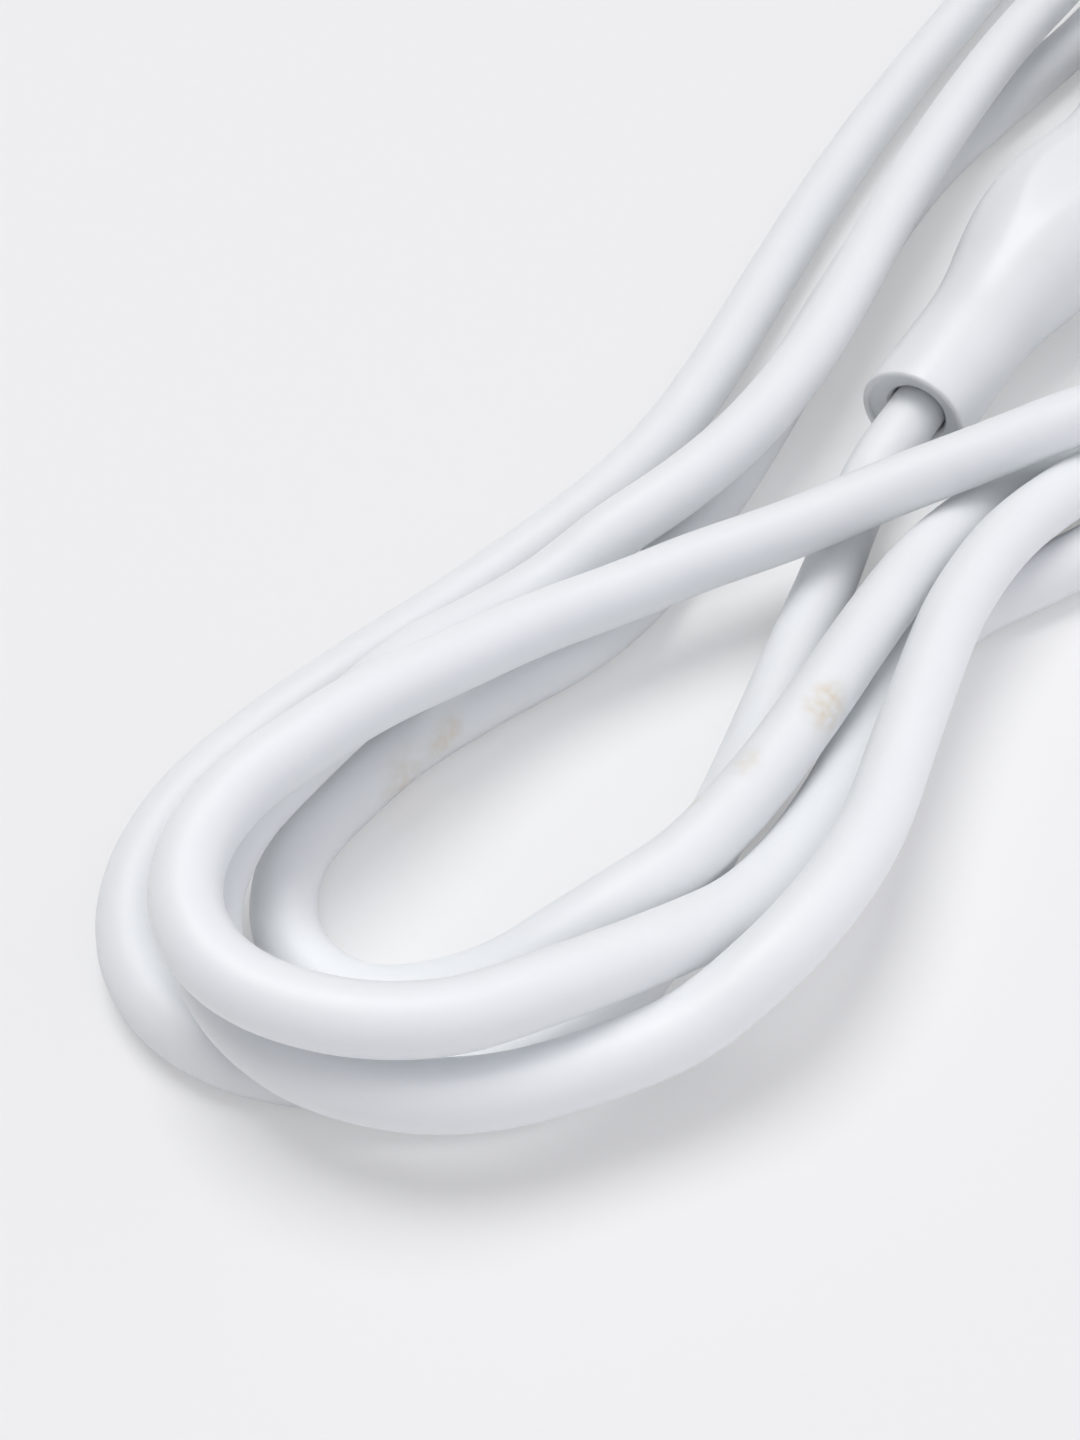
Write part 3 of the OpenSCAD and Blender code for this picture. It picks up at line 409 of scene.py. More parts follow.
def shell_finish():
    """White polypropylene from a polished mould with a faint spark texture, 0.4 mm grains."""
    m, tree, bsdf = new_material(
        "moulded polypropylene", IOR=1.49, Subsurface_Weight=0.6,
        Subsurface_Radius=WHITE_SCATTER, Subsurface_Scale=1.2 * MM,
    )
    place = node(tree, "ShaderNodeTexCoord").outputs["Object"]
    cloud = node(tree, "ShaderNodeTexNoise", {"Vector": place}, Scale=1 / (18 * MM), Detail=2.0)
    tone = node(
        tree, "ShaderNodeMix",
        {0: cloud.outputs["Fac"], 6: hex_colour("#F0F3F5"), 7: hex_colour("#F5F7F8")},
        data_type="RGBA",
    )
    tree.links.new(tone.outputs[2], bsdf.inputs["Base Color"])
    rub = node(tree, "ShaderNodeTexNoise", {"Vector": place}, Scale=1 / (12 * MM), Detail=3.0)
    gloss = node(
        tree, "ShaderNodeMapRange", {"Value": rub.outputs["Fac"]}, To_Min=0.3, To_Max=0.46,
    )
    tree.links.new(gloss.outputs["Result"], bsdf.inputs["Roughness"])
    # the mould's spark grains lie on slow waves 10 mm apart, where the wall has sunk a little
    spark = node(tree, "ShaderNodeTexNoise", {"Vector": place}, Scale=1 / (0.4 * MM), Detail=3.0)
    sink = node(tree, "ShaderNodeTexNoise", {"Vector": place}, Scale=1 / (10 * MM), Detail=1.0)
    low = node(
        tree, "ShaderNodeBump", {"Height": sink.outputs["Fac"]}, Strength=0.15, Distance=0.4 * MM,
    )
    lift = node(
        tree, "ShaderNodeBump", {"Height": spark.outputs["Fac"], "Normal": low.outputs[0]},
        Strength=0.08, Distance=0.05 * MM,
    )
    tree.links.new(lift.outputs["Normal"], bsdf.inputs["Normal"])
    return m


def plated(name, colour, dull, rough, scratch_mm):
    """A bare or plated metal: bright, with streaks of wear scratch_mm apart and duller clouds."""
    m, tree, bsdf = new_material(name, Metallic=1.0)
    place = node(tree, "ShaderNodeTexCoord").outputs["Object"]
    cloud = node(tree, "ShaderNodeTexNoise", {"Vector": place}, Scale=1 / (5 * MM), Detail=4.0)
    tone = node(
        tree, "ShaderNodeMix",
        {0: cloud.outputs["Fac"], 6: hex_colour(dull), 7: hex_colour(colour)}, data_type="RGBA",
    )
    tree.links.new(tone.outputs[2], bsdf.inputs["Base Color"])
    # streaks are drawn out along X, eight times as long as they are wide
    long = node(tree, "ShaderNodeMapping", {"Vector": place, "Scale": (0.12, 1.0, 1.0)})
    streak = node(
        tree, "ShaderNodeTexNoise", {"Vector": long.outputs[0]},
        Scale=1 / (scratch_mm * MM), Detail=3.0,
    )
    wear = node(
        tree, "ShaderNodeMapRange", {"Value": streak.outputs["Fac"]},
        To_Min=rough * 0.7, To_Max=rough * 1.5,
    )
    tree.links.new(wear.outputs["Result"], bsdf.inputs["Roughness"])
    lift = node(
        tree, "ShaderNodeBump", {"Height": streak.outputs["Fac"]}, Strength=0.1, Distance=0.03 * MM,
    )
    tree.links.new(lift.outputs["Normal"], bsdf.inputs["Normal"])
    return m


# share of an earth core's girth that its stripe takes
STRIPE_SHARE = 0.45


def core_finish(name, base, stripe=None):
    """Glossy PVC core insulation, with grains of 0.8 mm; a stripe goes by the UV map."""
    m, tree, bsdf = new_material(name, Roughness=0.35, IOR=1.53)
    if stripe:
        along = node(tree, "ShaderNodeUVMap", uv_map="along").outputs["UV"]
        across = node(tree, "ShaderNodeSeparateXYZ", {0: along})
        side = node(
            tree, "ShaderNodeMath", {0: across.outputs["Y"], 1: STRIPE_SHARE},
            operation="LESS_THAN",
        )
        tone = node(
            tree, "ShaderNodeMix",
            {0: side.outputs[0], 6: hex_colour(base), 7: hex_colour(stripe)}, data_type="RGBA",
        )
        tree.links.new(tone.outputs[2], bsdf.inputs["Base Color"])
    else:
        bsdf.inputs["Base Color"].default_value = hex_colour(base)
    place = node(tree, "ShaderNodeTexCoord").outputs["Object"]
    fine = node(tree, "ShaderNodeTexNoise", {"Vector": place}, Scale=1 / (0.8 * MM), Detail=2.0)
    lift = node(
        tree, "ShaderNodeBump", {"Height": fine.outputs["Fac"]}, Strength=0.1, Distance=0.04 * MM,
    )
    tree.links.new(lift.outputs["Normal"], bsdf.inputs["Normal"])
    return m


pvc_sheath = sheath_finish()
shell_plastic = shell_finish()
# soft PVC is milky and a little uneven, polyamide is matt and dull, acetal has a waxy sheen
strap_pvc = moulded(
    "soft pvc strap", "#E4E7EB", 0.5, spread=0.06, grain_mm=0.5, bump=0.25, milky=0.4,
)
insulator = moulded("polyamide insulator", "#BFBEB8", 0.48, spread=0.08, grain_mm=0.35, bump=0.15)
acetal = moulded(
    "acetal shutter", "#E3E3DF", 0.35, spread=0.04, grain_mm=0.5, bump=0.08, milky=0.3,
)
# nickel is warm and bright, brass is yellow and duller, zinc is grey and matt, drawn wire is dark
nickel = plated("nickel plate", "#D3CFC7", "#BDB8AE", 0.2, 0.5)
brass = plated("stamped brass", "#D2AE62", "#B48F48", 0.28, 0.7)
zinc = plated("zinc plated steel", "#BFC3C8", "#9FA4A9", 0.33, 0.8)
spring_wire = plated("drawn spring wire", "#A9ABAE", "#8C8E91", 0.28, 0.3)
brown = core_finish("brown insulation", "#5A2F17")
blue = core_finish("blue insulation", "#2457A6")
green = core_finish("green and yellow insulation", "#3F8F2E", "#E2CC2A")

FINISH = {
    "white_shell": shell_plastic, "cord_sheath": pvc_sheath, "insulator": insulator,
    "shutter_plastic": acetal, "tie_plastic": strap_pvc, "pin_metal": nickel,
    "contact_metal": brass, "plated_steel": zinc, "spring_steel": spring_wire,
    "line_insulation": brown, "neutral_insulation": blue, "earth_insulation": green,
}
for entry in frame["record"]["subparts"]:
    obj = NODES[entry["node"]]
    obj.data.materials.clear()
    obj.data.materials.append(FINISH[entry["material_slot"]])

# ---------------------------------------------------------------- cord

path = smooth_route(ROUTE[::-1], ROUTE_STEP)
cord = add("flex_cord", tube_mesh("flex_cord", path, CORD_D / 2, CORD_SIDES), pvc_sheath)
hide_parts("cord_to_plug", "cord_hank", "cord_to_socket")
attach(cord, "cord_body")

# ---------------------------------------------------------------- moulded shells

# a grip's distances from its cord entry, each with its radius
SOCKET_STATIONS = [(18, 8), (40, 15), (54, 11.5)]
PLUG_STATIONS = [(15, PLUG_NECK_R), (39, 10), (59, 7.4), (88, 13.5)]
GRIP_STEPS = 110
NECK_WALL, SOCKET_WALL, PLUG_WALL = 0.9, 2.2, 1.5
EDGE_R, FILLET_R = 1.6, 1.3
# the fine line between two shells: half its width, and the bevel on each side
PARTING_GAP, PARTING_BEVEL = 0.05, 0.3
# web in a mouth: distances from the entry, each with its gap to the cord, and for its root
# each with its drop from the bore
WEB =[(5.5, 0.7), (5.0, 0.3), (1.9, 0.3), (1.4, 0.4), (1.1, 0.7)]
WEB_ROOT = [(1.0, 0.6), (0.85, 0.2), (0.6, 0.0)]
# how softly a thumb flat ends along its sides, and the least sine at which it still presses
FLAT_BLEND, FLAT_SINE = 0.02, 0.2
SEAT_WALL = 0.5  # straight part of a screw's seat
SOCKET_FLANGE_X, SOCKET_PARTING, SOCKET_FACE = 8, 11, 48
FACE_BACK, WELL_FLOOR = 26.5, 30.5
CUP_R, WELL_R, CUP_WALL = 24.0, 19.75, 1.75
WELL_LIP, WELL_FILLET = 0.8, 0.6
# slots for the earth clips: from and to in height, their end along X, and half their width
CLIP_SLOT, CLIP_SLOT_END, CLIP_HALF = (18.8, 20.2), 45, 3.2
PLUG_PLATE, RIM_WALL = 4, 2.2
# a fine groove in the plug's face: depth and radius of its corners
FACE_GROOVE = [(0, 14.6), (0.25, 14.4), (0.25, 13.9), (0, 13.7)]
# notches for the earth flats: depth from the edge, and half their width
EARTH_FLAT, EARTH_HALF = 1.6, 3.1
PIN_Y, PIN_HOLE_R, CONTACT_HOLE_R = 9.5, 2.75, 2.6
PAST = 1  # how far a cutter goes past the wall that it cuts
SHARP_ANGLE = math.radians(35)
MIRROR = (-1, 1)


def swell(s, stations):
    """Radius of a grip at distance s from its cord entry: an S-curve between stations."""
    if s <= stations[0][0]:
        return stations[0][1]
    for (s0, r0), (s1, r1) in zip(stations, stations[1:]):
        if s <= s1:
            return r0 + (r1 - r0) * (1 - math.cos(math.pi * (s - s0) / (s1 - s0))) / 2
    return stations[-1][1]


def arc(x, r, radius, start, end, steps=8):
    """Points on a circle round (x, r), by angles in degrees from +x towards +r."""
    angles = [math.radians(start + (end - start) * i / steps) for i in range(steps + 1)]
    return [(x + radius * math.cos(a), r + radius * math.sin(a)) for a in angles]


def turned_shell(name, profile, place, sides=144, press=None):
    """A closed wall turned about X in the given frame; press(x, r, angle) may push a point in."""
    bm = bmesh.new()
    rings = []
    for k in range(sides):
        a = 2 * math.pi * k / sides
        ring = []
        for x, r in profile:
            out = press(x, r, a) if press else r
            point = Vector((x, out * math.cos(a), out * math.sin(a)))
            ring.append(bm.verts.new((place @ point) * MM))
        rings.append(ring)
    n = len(profile)
    for k in range(sides):
        one, two = rings[k], rings[(k + 1) % sides]
        for i in range(n):
            j = (i + 1) % n
            bm.faces.new((one[i], one[j], two[j], two[i])).smooth = True
    bmesh.ops.recalc_face_normals(bm, faces=bm.faces)
    mesh = bpy.data.meshes.new(name)
    bm.to_mesh(mesh)
    bm.free()
    mesh.set_sharp_from_angle(angle=SHARP_ANGLE)
    return mesh


def grip_profile(entry, stations, wall, flange_x, flange_r, parting_x):
    """Closed outline of a hollow cover: round lip, grip, fillet, flange, and back inside.

    A web just inside the mouth closes in on the cord."""
    (start, neck), (end, top) = stations[0], stations[-1]
    bore = neck - NECK_WALL
    lip = NECK_WALL / 2
    face = parting_x - PARTING_GAP
    marks = [start + (end - start) * i / GRIP_STEPS for i in range(GRIP_STEPS + 1)]
    outside = [(entry + m, swell(m, stations)) for m in marks]
    inside = [(entry + m, max(swell(m, stations) - wall, bore)) for m in marks[::-2]]
    return (
        [(entry + x, r) for x, r in arc(lip, bore + lip, lip, -90, -270, 10)]
        + outside
        + arc(flange_x - FILLET_R, top + FILLET_R, FILLET_R, -90, 0, 5)
        + arc(flange_x + EDGE_R, flange_r - EDGE_R, EDGE_R, 180, 90)
        + [(face - PARTING_BEVEL, flange_r), (face, flange_r - PARTING_BEVEL), (face, top - wall)]
        + inside
        + [(entry + s, CORD_D / 2 + gap) for s, gap in WEB]
        + [(entry + s, bore - drop) for s, drop in WEB_ROOT]
    )


def front_edge(parting_x, bore, radius):
    """Start of a front shell's outline: its end face and the bevelled edge at the parting."""
    face = parting_x + PARTING_GAP
    return [(face, bore), (face, radius - PARTING_BEVEL), (face + PARTING_BEVEL, radius)]


def screw_seat(face_x, head_r, hole_r, back_x):
    """Outline of a screw's seat in a face: a short straight wall, a cone and a clear hole."""
    cone_x = face_x - SEAT_WALL
    tip_x = cone_x - (head_r - hole_r)
    return [(face_x, head_r), (cone_x, head_r), (tip_x, hole_r), (back_x, hole_r)]


def thumb_flats(first, last, depth):
    """Pushes in shallow flats above and below the grip, deepest half way along."""
    def press(x, r, a):
        if not first < x < last:
            return r
        cut = depth * math.sin(math.pi * (x - first) / (last - first)) ** 2
        flat = (r - cut) / max(abs(math.sin(a)), FLAT_SINE)
        # a soft least of the two, so that the flat's edge is rounded
        over = r - flat
        return r - (over + math.sqrt(over ** 2 + FLAT_BLEND)) / 2 + math.sqrt(FLAT_BLEND) / 2
    return press


def tube_of(bm, x0, x1, y, radius, sides=48):
    """Adds a closed cylinder along X, at height 0, to a mesh that is still in mm."""
    ends = [
        [bm.verts.new((x, y + radius * math.cos(w), radius * math.sin(w)))
         for w in (2 * math.pi * k / sides for k in range(sides))]
        for x in (x0, x1)
    ]
    for k in range(sides):
        n = (k + 1) % sides
        bm.faces.new((ends[0][k], ends[1][k], ends[1][n], ends[0][n]))
    bm.faces.new(ends[0])
    bm.faces.new(list(reversed(ends[1])))


def block_of(bm, x0, x1, y0, y1, z0, z1):
    """Adds a closed box to a mesh that is still in mm."""
    made = bmesh.ops.create_cube(bm, size=1.0)["verts"]
    bmesh.ops.scale(bm, vec=(x1 - x0, y1 - y0, z1 - z0), verts=made)
    bmesh.ops.translate(bm, vec=((x0 + x1) / 2, (y0 + y1) / 2, (z0 + z1) / 2), verts=made)


def mm_mesh(name, bm, place):
    """Ends a mesh made in mm in a frame of its own: places it and turns it to metres."""
    bmesh.ops.recalc_face_normals(bm, faces=bm.faces)
    bmesh.ops.transform(bm, matrix=Matrix.Scale(MM, 4) @ place, verts=bm.verts)
    mesh = bpy.data.meshes.new(name)
    bm.to_mesh(mesh)
    bm.free()
    return mesh


def settled(obj):
    """The object's evaluated shape as its own plain mesh, smooth but for its sharp edges."""
    graph = bpy.context.evaluated_depsgraph_get()
    mesh = bpy.data.meshes.new_from_object(obj.evaluated_get(graph))
    obj.modifiers.clear()
    obj.data = mesh
    for poly in mesh.polygons:
        poly.use_smooth = True
    mesh.set_sharp_from_angle(angle=SHARP_ANGLE)
    return obj


def carved(obj, bm, place):
    """Cuts the shapes in bm, made in mm, out of the object."""
    tool = add(obj.name + "_cutter", mm_mesh(obj.name + "_cutter", bm, place))
    cut = obj.modifiers.new("holes", "BOOLEAN")
    cut.object, cut.operation, cut.solver = tool, "DIFFERENCE", "EXACT"
    settled(obj)
    bpy.data.objects.remove(tool)


def finished(obj, slot, *nodes):
    """Gives a new piece its body and hides the CAD nodes that it stands for; slot is not used."""
    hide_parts(*nodes)
    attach(obj, "cord_body")


plug_cover_shell = add("plug_cover_shell", turned_shell(
    "plug_cover_shell",
    grip_profile(0, PLUG_STATIONS, PLUG_WALL, PLUG_FLANGE_X, DISC_R, PLUG_PARTING),
    PLUG_FRAME, press=thumb_flats(first=26, last=54, depth=0.7),
), shell_plastic)
finished(plug_cover_shell, "white_shell", "plug_cover")

socket_cover_shell = add("socket_cover_shell", turned_shell(
    "socket_cover_shell",
    grip_profile(
        SOCKET_ENTRY, SOCKET_STATIONS, SOCKET_WALL, SOCKET_FLANGE_X, CUP_R, SOCKET_PARTING,
    ),
    SOCKET_FRAME, press=thumb_flats(first=-20, last=4, depth=0.9),
), shell_plastic)
finished(socket_cover_shell, "white_shell", "socket_cover")

plate_x, disc_bore = PLUG_LEN - PLUG_PLATE, DISC_R - RIM_WALL
plug_disc = add("plug_disc", turned_shell(
    "plug_disc",
    front_edge(PLUG_PARTING, disc_bore, DISC_R)
    + arc(PLUG_LEN - EDGE_R, DISC_R - EDGE_R, EDGE_R, 90, 0)
    + [(PLUG_LEN - depth, r) for depth, r in FACE_GROOVE]
    + screw_seat(PLUG_LEN, head_r=3.1, hole_r=1.65, back_x=plate_x)
    + [(plate_x, disc_bore)],
    PLUG_FRAME,
), shell_plastic)
holes = bmesh.new()
for side in MIRROR:
    tube_of(holes, plate_x - PAST, PLUG_LEN + PAST, side * PIN_Y, PIN_HOLE_R)
    block_of(holes, PLUG_PARTING + PAST, PLUG_LEN + PAST, -EARTH_HALF, EARTH_HALF,
             *sorted((side * (DISC_R - EARTH_FLAT), side * (DISC_R + PAST))))
carved(plug_disc, holes, PLUG_FRAME)
finished(plug_disc, "white_shell", "plug_front")

cup_bore = WELL_R + CUP_WALL
socket_cup_shell = add("socket_cup_shell", turned_shell(
    "socket_cup_shell",
    front_edge(SOCKET_PARTING, cup_bore, CUP_R)
    + arc(SOCKET_FACE - EDGE_R, CUP_R - EDGE_R, EDGE_R, 90, 0)
    + [(SOCKET_FACE, WELL_R + WELL_LIP)]
    + arc(SOCKET_FACE - WELL_LIP, WELL_R + WELL_LIP, WELL_LIP, 0, -90, 6)
    + [(WELL_FLOOR + WELL_FILLET, WELL_R)]
    + arc(WELL_FLOOR + WELL_FILLET, WELL_R - WELL_FILLET, WELL_FILLET, 90, 180, 5)
    + screw_seat(WELL_FLOOR, head_r=4.1, hole_r=2.15, back_x=FACE_BACK)
    + [(FACE_BACK, cup_bore)],
    SOCKET_FRAME, sides=192,
), shell_plastic)
holes = bmesh.new()
for side in MIRROR:
    tube_of(holes, FACE_BACK - PAST, WELL_FLOOR + PAST, side * PIN_Y, CONTACT_HOLE_R)
    block_of(holes, FACE_BACK - PAST, CLIP_SLOT_END, -CLIP_HALF, CLIP_HALF,
             *sorted(side * z for z in CLIP_SLOT))
carved(socket_cup_shell, holes, SOCKET_FRAME)
finished(socket_cup_shell, "white_shell", "socket_cup")

# ---------------------------------------------------------------- pieces grown by Geometry Nodes


def grown(name, build, material, host=None, **sizes):
    """A piece made by Geometry Nodes: named sizes in mm, instances made real, then a plain mesh."""
    tree = bpy.data.node_groups.new(name, "GeometryNodeTree")
    tree.interface.new_socket("Geometry", in_out="INPUT", socket_type="NodeSocketGeometry")
    for key in sizes:
        tree.interface.new_socket(key, in_out="INPUT", socket_type="NodeSocketFloat")
    tree.interface.new_socket("Geometry", in_out="OUTPUT", socket_type="NodeSocketGeometry")
    given = node(tree, "NodeGroupInput")
    real = node(tree, "GeometryNodeRealizeInstances", {0: build(tree, given.outputs)})
    paint = node(tree, "GeometryNodeSetMaterial", {0: real.outputs[0]})
    paint.inputs["Material"].default_value = material
    tree.links.new(paint.outputs[0], node(tree, "NodeGroupOutput").inputs[0])
    obj = add(name, host or bpy.data.meshes.new(name))
    grow = obj.modifiers.new(name, "NODES")
    grow.node_group = tree
    for item in tree.interface.items_tree:
        if item.name in sizes:
            grow[item.identifier] = float(sizes[item.name] * MM)
    return settled(obj)


def raised(tree, shape, height):
    """Moves a shape up its own Z by a socket's value or a number."""
    up = node(tree, "ShaderNodeCombineXYZ", {"Z": height})
    moved = node(tree, "GeometryNodeTransform", {"Geometry": shape, "Translation": up.outputs[0]})
    return moved.outputs[0]


SCREW_SIZES = ("radius", "head_r", "head_h", "length")
THREAD_PITCH = 0.5 * MM
SLOT_SEED = 7


def screw_build(tree, sizes):
    """A cheese head with a driving slot on a threaded shank, put on each point of the host.

    The host's attribute axis is the screw's axis; the slot is turned at random."""
    radius, head_r, head_h, length = (sizes[k] for k in SCREW_SIZES)
    shares = {
        "head middle": (head_h, 0.5),
        "slot length": (head_r, 2.4),
        "slot width": (head_r, 0.32),
        "slot height": (head_h, 0.9),
        "core radius": (radius, 0.86),
        "core middle": (length, -0.5),
        "ridge radius": (radius, 0.13),
        "thread length": (length, 0.92),
        "thread low": (length, -0.96),
    }
    part = {
        name: node(tree, "ShaderNodeMath", {0: size, 1: share}, operation="MULTIPLY").outputs[0]
        for name, (size, share) in shares.items()
    }
    head = node(
        tree, "GeometryNodeMeshCylinder", {"Radius": head_r, "Depth": head_h}, Vertices=40,
    )
    head = raised(tree, head.outputs[0], part["head middle"])
    shape = node(tree, "ShaderNodeCombineXYZ", {
        "X": part["slot length"], "Y": part["slot width"], "Z": part["slot height"],
    })
    slot = node(tree, "GeometryNodeMeshCube", {"Size": shape.outputs[0]})
    slotted = node(
        tree, "GeometryNodeMeshBoolean",
        {"Mesh 1": head, "Mesh 2": raised(tree, slot.outputs[0], head_h)},
        operation="DIFFERENCE", solver="EXACT",
    )
    # thread: a fine coil pressed into a core, so its crests stand at the screw's radius
    core = node(
        tree, "GeometryNodeMeshCylinder", {"Radius": part["core radius"], "Depth": length},
        Vertices=24,
    )
    core = raised(tree, core.outputs[0], part["core middle"])
    turns = node(tree, "ShaderNodeMath", {0: length, 1: THREAD_PITCH}, operation="DIVIDE")
    coil = node(tree, "GeometryNodeCurveSpiral", {
        "Start Radius": part["core radius"], "End Radius": part["core radius"],
        "Height": part["thread length"], "Rotations": turns.outputs[0],
    }, Resolution=18)
    ridge = node(
        tree, "GeometryNodeCurvePrimitiveCircle", {"Radius": part["ridge radius"]}, Resolution=5,
    )
    thread = node(tree, "GeometryNodeCurveToMesh", {
        "Curve": coil.outputs[0], "Profile Curve": ridge.outputs[0],
    }, Fill_Caps=True)
    thread = raised(tree, thread.outputs[0], part["thread low"])
    screw = node(tree, "GeometryNodeJoinGeometry")
    for solid in (thread, core, slotted.outputs["Mesh"]):
        tree.links.new(solid, screw.inputs[0])
    points = node(tree, "GeometryNodeMeshToPoints", {"Mesh": sizes["Geometry"]})
    axis = node(tree, "GeometryNodeInputNamedAttribute", data_type="FLOAT_VECTOR", Name="axis")
    along = node(
        tree, "FunctionNodeAlignRotationToVector", {"Vector": axis.outputs[0]}, axis="Z",
    )
    # input 3 is the largest number drawn: a slot looks the same after half a turn
    chance = node(
        tree, "FunctionNodeRandomValue", {3: math.pi}, data_type="FLOAT", Seed=SLOT_SEED,
    )
    spin = node(tree, "ShaderNodeCombineXYZ", {"Z": chance.outputs[1]})
    turned = node(
        tree, "FunctionNodeRotateRotation",
        {"Rotation": along.outputs[0], "Rotate By": spin.outputs[0]}, rotation_space="LOCAL",
    )
    placed = node(tree, "GeometryNodeInstanceOnPoints", {
        "Points": points.outputs[0], "Instance": screw.outputs[0], "Rotation": turned.outputs[0],
    })
    return placed.outputs[0]


def screw_points(name, place, points):
    """A mesh of loose points, each with the axis of a screw in attribute axis."""
    mesh = bpy.data.meshes.new(name)
    mesh.from_pydata([(place @ Vector(p)) * MM for p, _ in points], [], [])
    spin = place.to_3x3()
    axis = mesh.attributes.new("axis", "FLOAT_VECTOR", "POINT")
    axis.data.foreach_set("vector", [c for _, d in points for c in spin @ Vector(d)])
    return mesh


UP, BACK = (0, 0, 1), (-1, 0, 0)
# a pair of screws each: CAD node, frame, place of the one at +Y, and sizes in SCREW_SIZES' order
SCREWS = [
    ("socket_terminal_screws", SOCKET_FRAME, (14.65, 5.6, 3.6), (1.0, 1.8, 1.4, 2.8)),
    ("socket_clamp_screws", SOCKET_FRAME, (-14.1, 4.7, 4.85), (1.0, 1.4, 0.8, 10.8)),
    ("plug_terminal_screws", PLUG_FRAME, (97, 5, 3.2), (1.0, 1.4, 1.2, 2.4)),
    ("plug_clamp_screws", PLUG_FRAME, (40, 4.7, 4.85), (1.0, 1.4, 0.8, 10.8)),
]
EARTH_SCREWS = {
    "socket_terminal_screws": ((15.9, 0, 8.5), (1.5, 2.6, 1.8, 4.6)),
    "plug_terminal_screws": ((98.4, 0, 8), (1.0, 2.0, 1.4, 1.5)),
}
for name, place, (x, y, z), sizes in SCREWS:
    host = screw_points(name, place, [((x, side * y, z), UP) for side in MIRROR])
    piece = grown(name + "_slotted", screw_build, zinc, host, **dict(zip(SCREW_SIZES, sizes)))
    if name in EARTH_SCREWS:
        point, sizes = EARTH_SCREWS[name]
        host = screw_points(name, place, [(point, BACK)])
        earth = grown(name + "_earth", screw_build, zinc, host, **dict(zip(SCREW_SIZES, sizes)))
        both = bmesh.new()
        both.from_mesh(piece.data)
        both.from_mesh(earth.data)
        both.to_mesh(piece.data)
        both.free()
        bpy.data.objects.remove(earth)
    finished(piece, "plated_steel", name)

SPRING_LOW, SPRING_HIGH, SPRING_X = 4.6, 15.1, 25.2
SPRING_TURNS = 9
WIRE_R, COIL_R = 0.2, 0.85


def spring_build(tree, sizes):
    """A compression spring: free turns between two closed ones; wire and coil are radii."""
    wire, coil, height = sizes["wire"], sizes["coil"], sizes["height"]
    end = node(tree, "ShaderNodeMath", {0: wire, 1: 2.4}, operation="MULTIPLY").outputs[0]
    taken = node(tree, "ShaderNodeMath", {0: wire, 1: 6.8}, operation="MULTIPLY").outputs[0]
    free = node(tree, "ShaderNodeMath", {0: height, 1: taken}, operation="SUBTRACT").outputs[0]
    top = node(tree, "ShaderNodeMath", {0: end, 1: free}, operation="ADD").outputs[0]
    joined = node(tree, "GeometryNodeJoinGeometry")
    for turns, length, start in ((1, end, 0.0), (SPRING_TURNS, free, end), (1, end, top)):
        line = node(tree, "GeometryNodeCurveSpiral", {
            "Start Radius": coil, "End Radius": coil, "Height": length,
        }, Resolution=32, Rotations=turns)
        tree.links.new(raised(tree, line.outputs[0], start), joined.inputs[0])
    ring = node(tree, "GeometryNodeCurvePrimitiveCircle", {"Radius": wire}, Resolution=12)
    coils = node(tree, "GeometryNodeCurveToMesh", {
        "Curve": joined.outputs[0], "Profile Curve": ring.outputs[0],
    }, Fill_Caps=True)
    return raised(tree, coils.outputs[0], wire)


spring = grown(
    "return_spring", spring_build, spring_wire,
    wire=WIRE_R, coil=COIL_R, height=SPRING_HIGH - SPRING_LOW,
)
spring.data.transform(Matrix.Translation(Vector((SPRING_X, 0, SOCKET_Z + SPRING_LOW)) * MM))
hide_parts("shutter_spring")
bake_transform(spring)
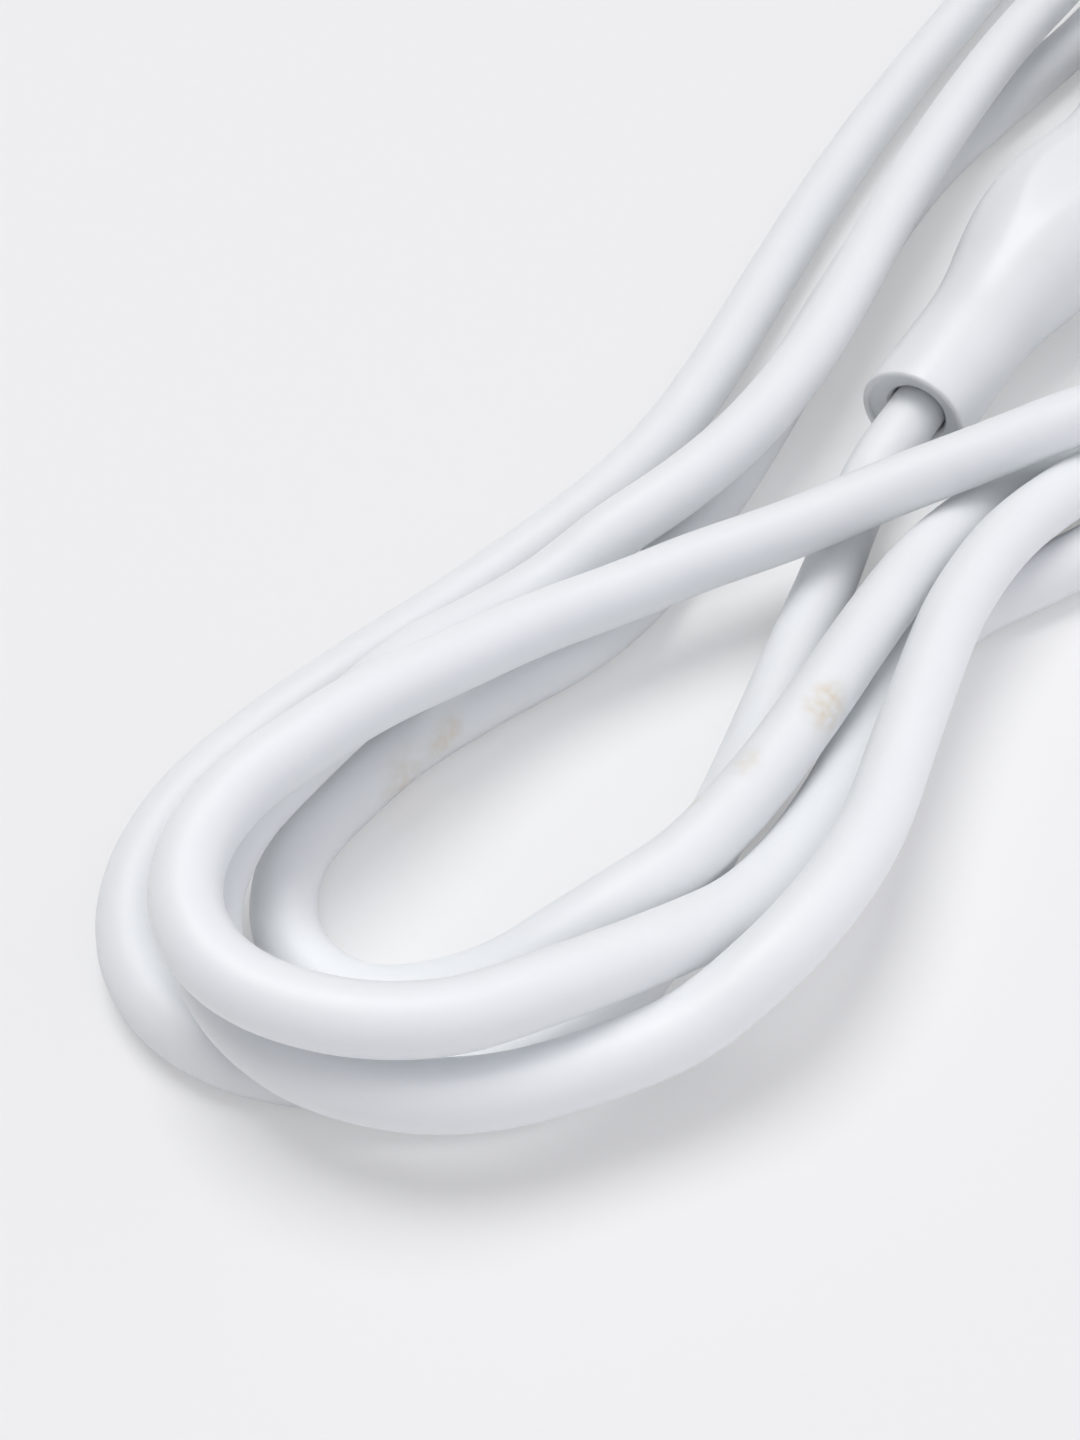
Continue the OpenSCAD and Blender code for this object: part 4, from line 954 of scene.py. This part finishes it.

# ---------------------------------------------------------------- floor and light

# Seamless white paper. To the camera a share of its tone is its own even white, so that the
# shadows on it stay as pale as in a bright tent of light; everything else sees plain paper.
FLOOR, OWN_SHARE = 3.0, 0.35
floor_mesh = bpy.data.meshes.new("floor")
corners = [(-FLOOR, -FLOOR, 0), (FLOOR, -FLOOR, 0), (FLOOR, FLOOR, 0), (-FLOOR, FLOOR, 0)]
floor_mesh.from_pydata(corners, [], [(0, 1, 2, 3)])
paper, tree, bsdf = new_material(
    "seamless white paper", Base_Color=hex_colour("#F3F3F3"), Roughness=0.9,
    Specular_IOR_Level=0.0,
)
own_tone = node(tree, "ShaderNodeEmission", {"Color": hex_colour("#F0F0F0"), "Strength": 1.0})
rays = node(tree, "ShaderNodeLightPath")
share = node(
    tree, "ShaderNodeMath", {0: rays.outputs["Is Camera Ray"], 1: OWN_SHARE}, operation="MULTIPLY",
)
blend = node(tree, "ShaderNodeMixShader", {
    0: share.outputs[0], 1: bsdf.outputs[0], 2: own_tone.outputs[0],
})
tree.links.new(blend.outputs[0], tree.nodes["Material Output"].inputs["Surface"])
floor = add("floor", floor_mesh, paper)

world = bpy.data.worlds.new("world")
world.use_nodes = True
sky = world.node_tree
backdrop = sky.nodes["Background"]
backdrop.inputs["Color"].default_value = hex_colour("#F3F2F9")
# brightest on the right of the hank, as from a large window there
outwards = node(sky, "ShaderNodeTexCoord").outputs["Generated"]
toward = node(
    sky, "ShaderNodeVectorMath", {0: outwards, 1: (0.14, -0.77, 0.62)}, operation="DOT_PRODUCT",
)
glow = node(
    sky, "ShaderNodeMapRange", {"Value": toward.outputs["Value"]}, To_Min=0.2, To_Max=0.84,
)
sky.links.new(glow.outputs["Result"], backdrop.inputs["Strength"])
bpy.context.scene.world = world

sun_data = bpy.data.lights.new("window", "SUN")
sun_data.energy = 1.7
sun_data.angle = math.radians(34)
sun = bpy.data.objects.new("window", sun_data)
# nearly overhead, and a little behind the hank
sun.rotation_euler = Vector((0.2, 0.3, 1.0)).to_track_quat("Z", "Y").to_euler()
bpy.context.scene.collection.objects.link(sun)

bpy.context.scene.view_settings.view_transform = "Standard"
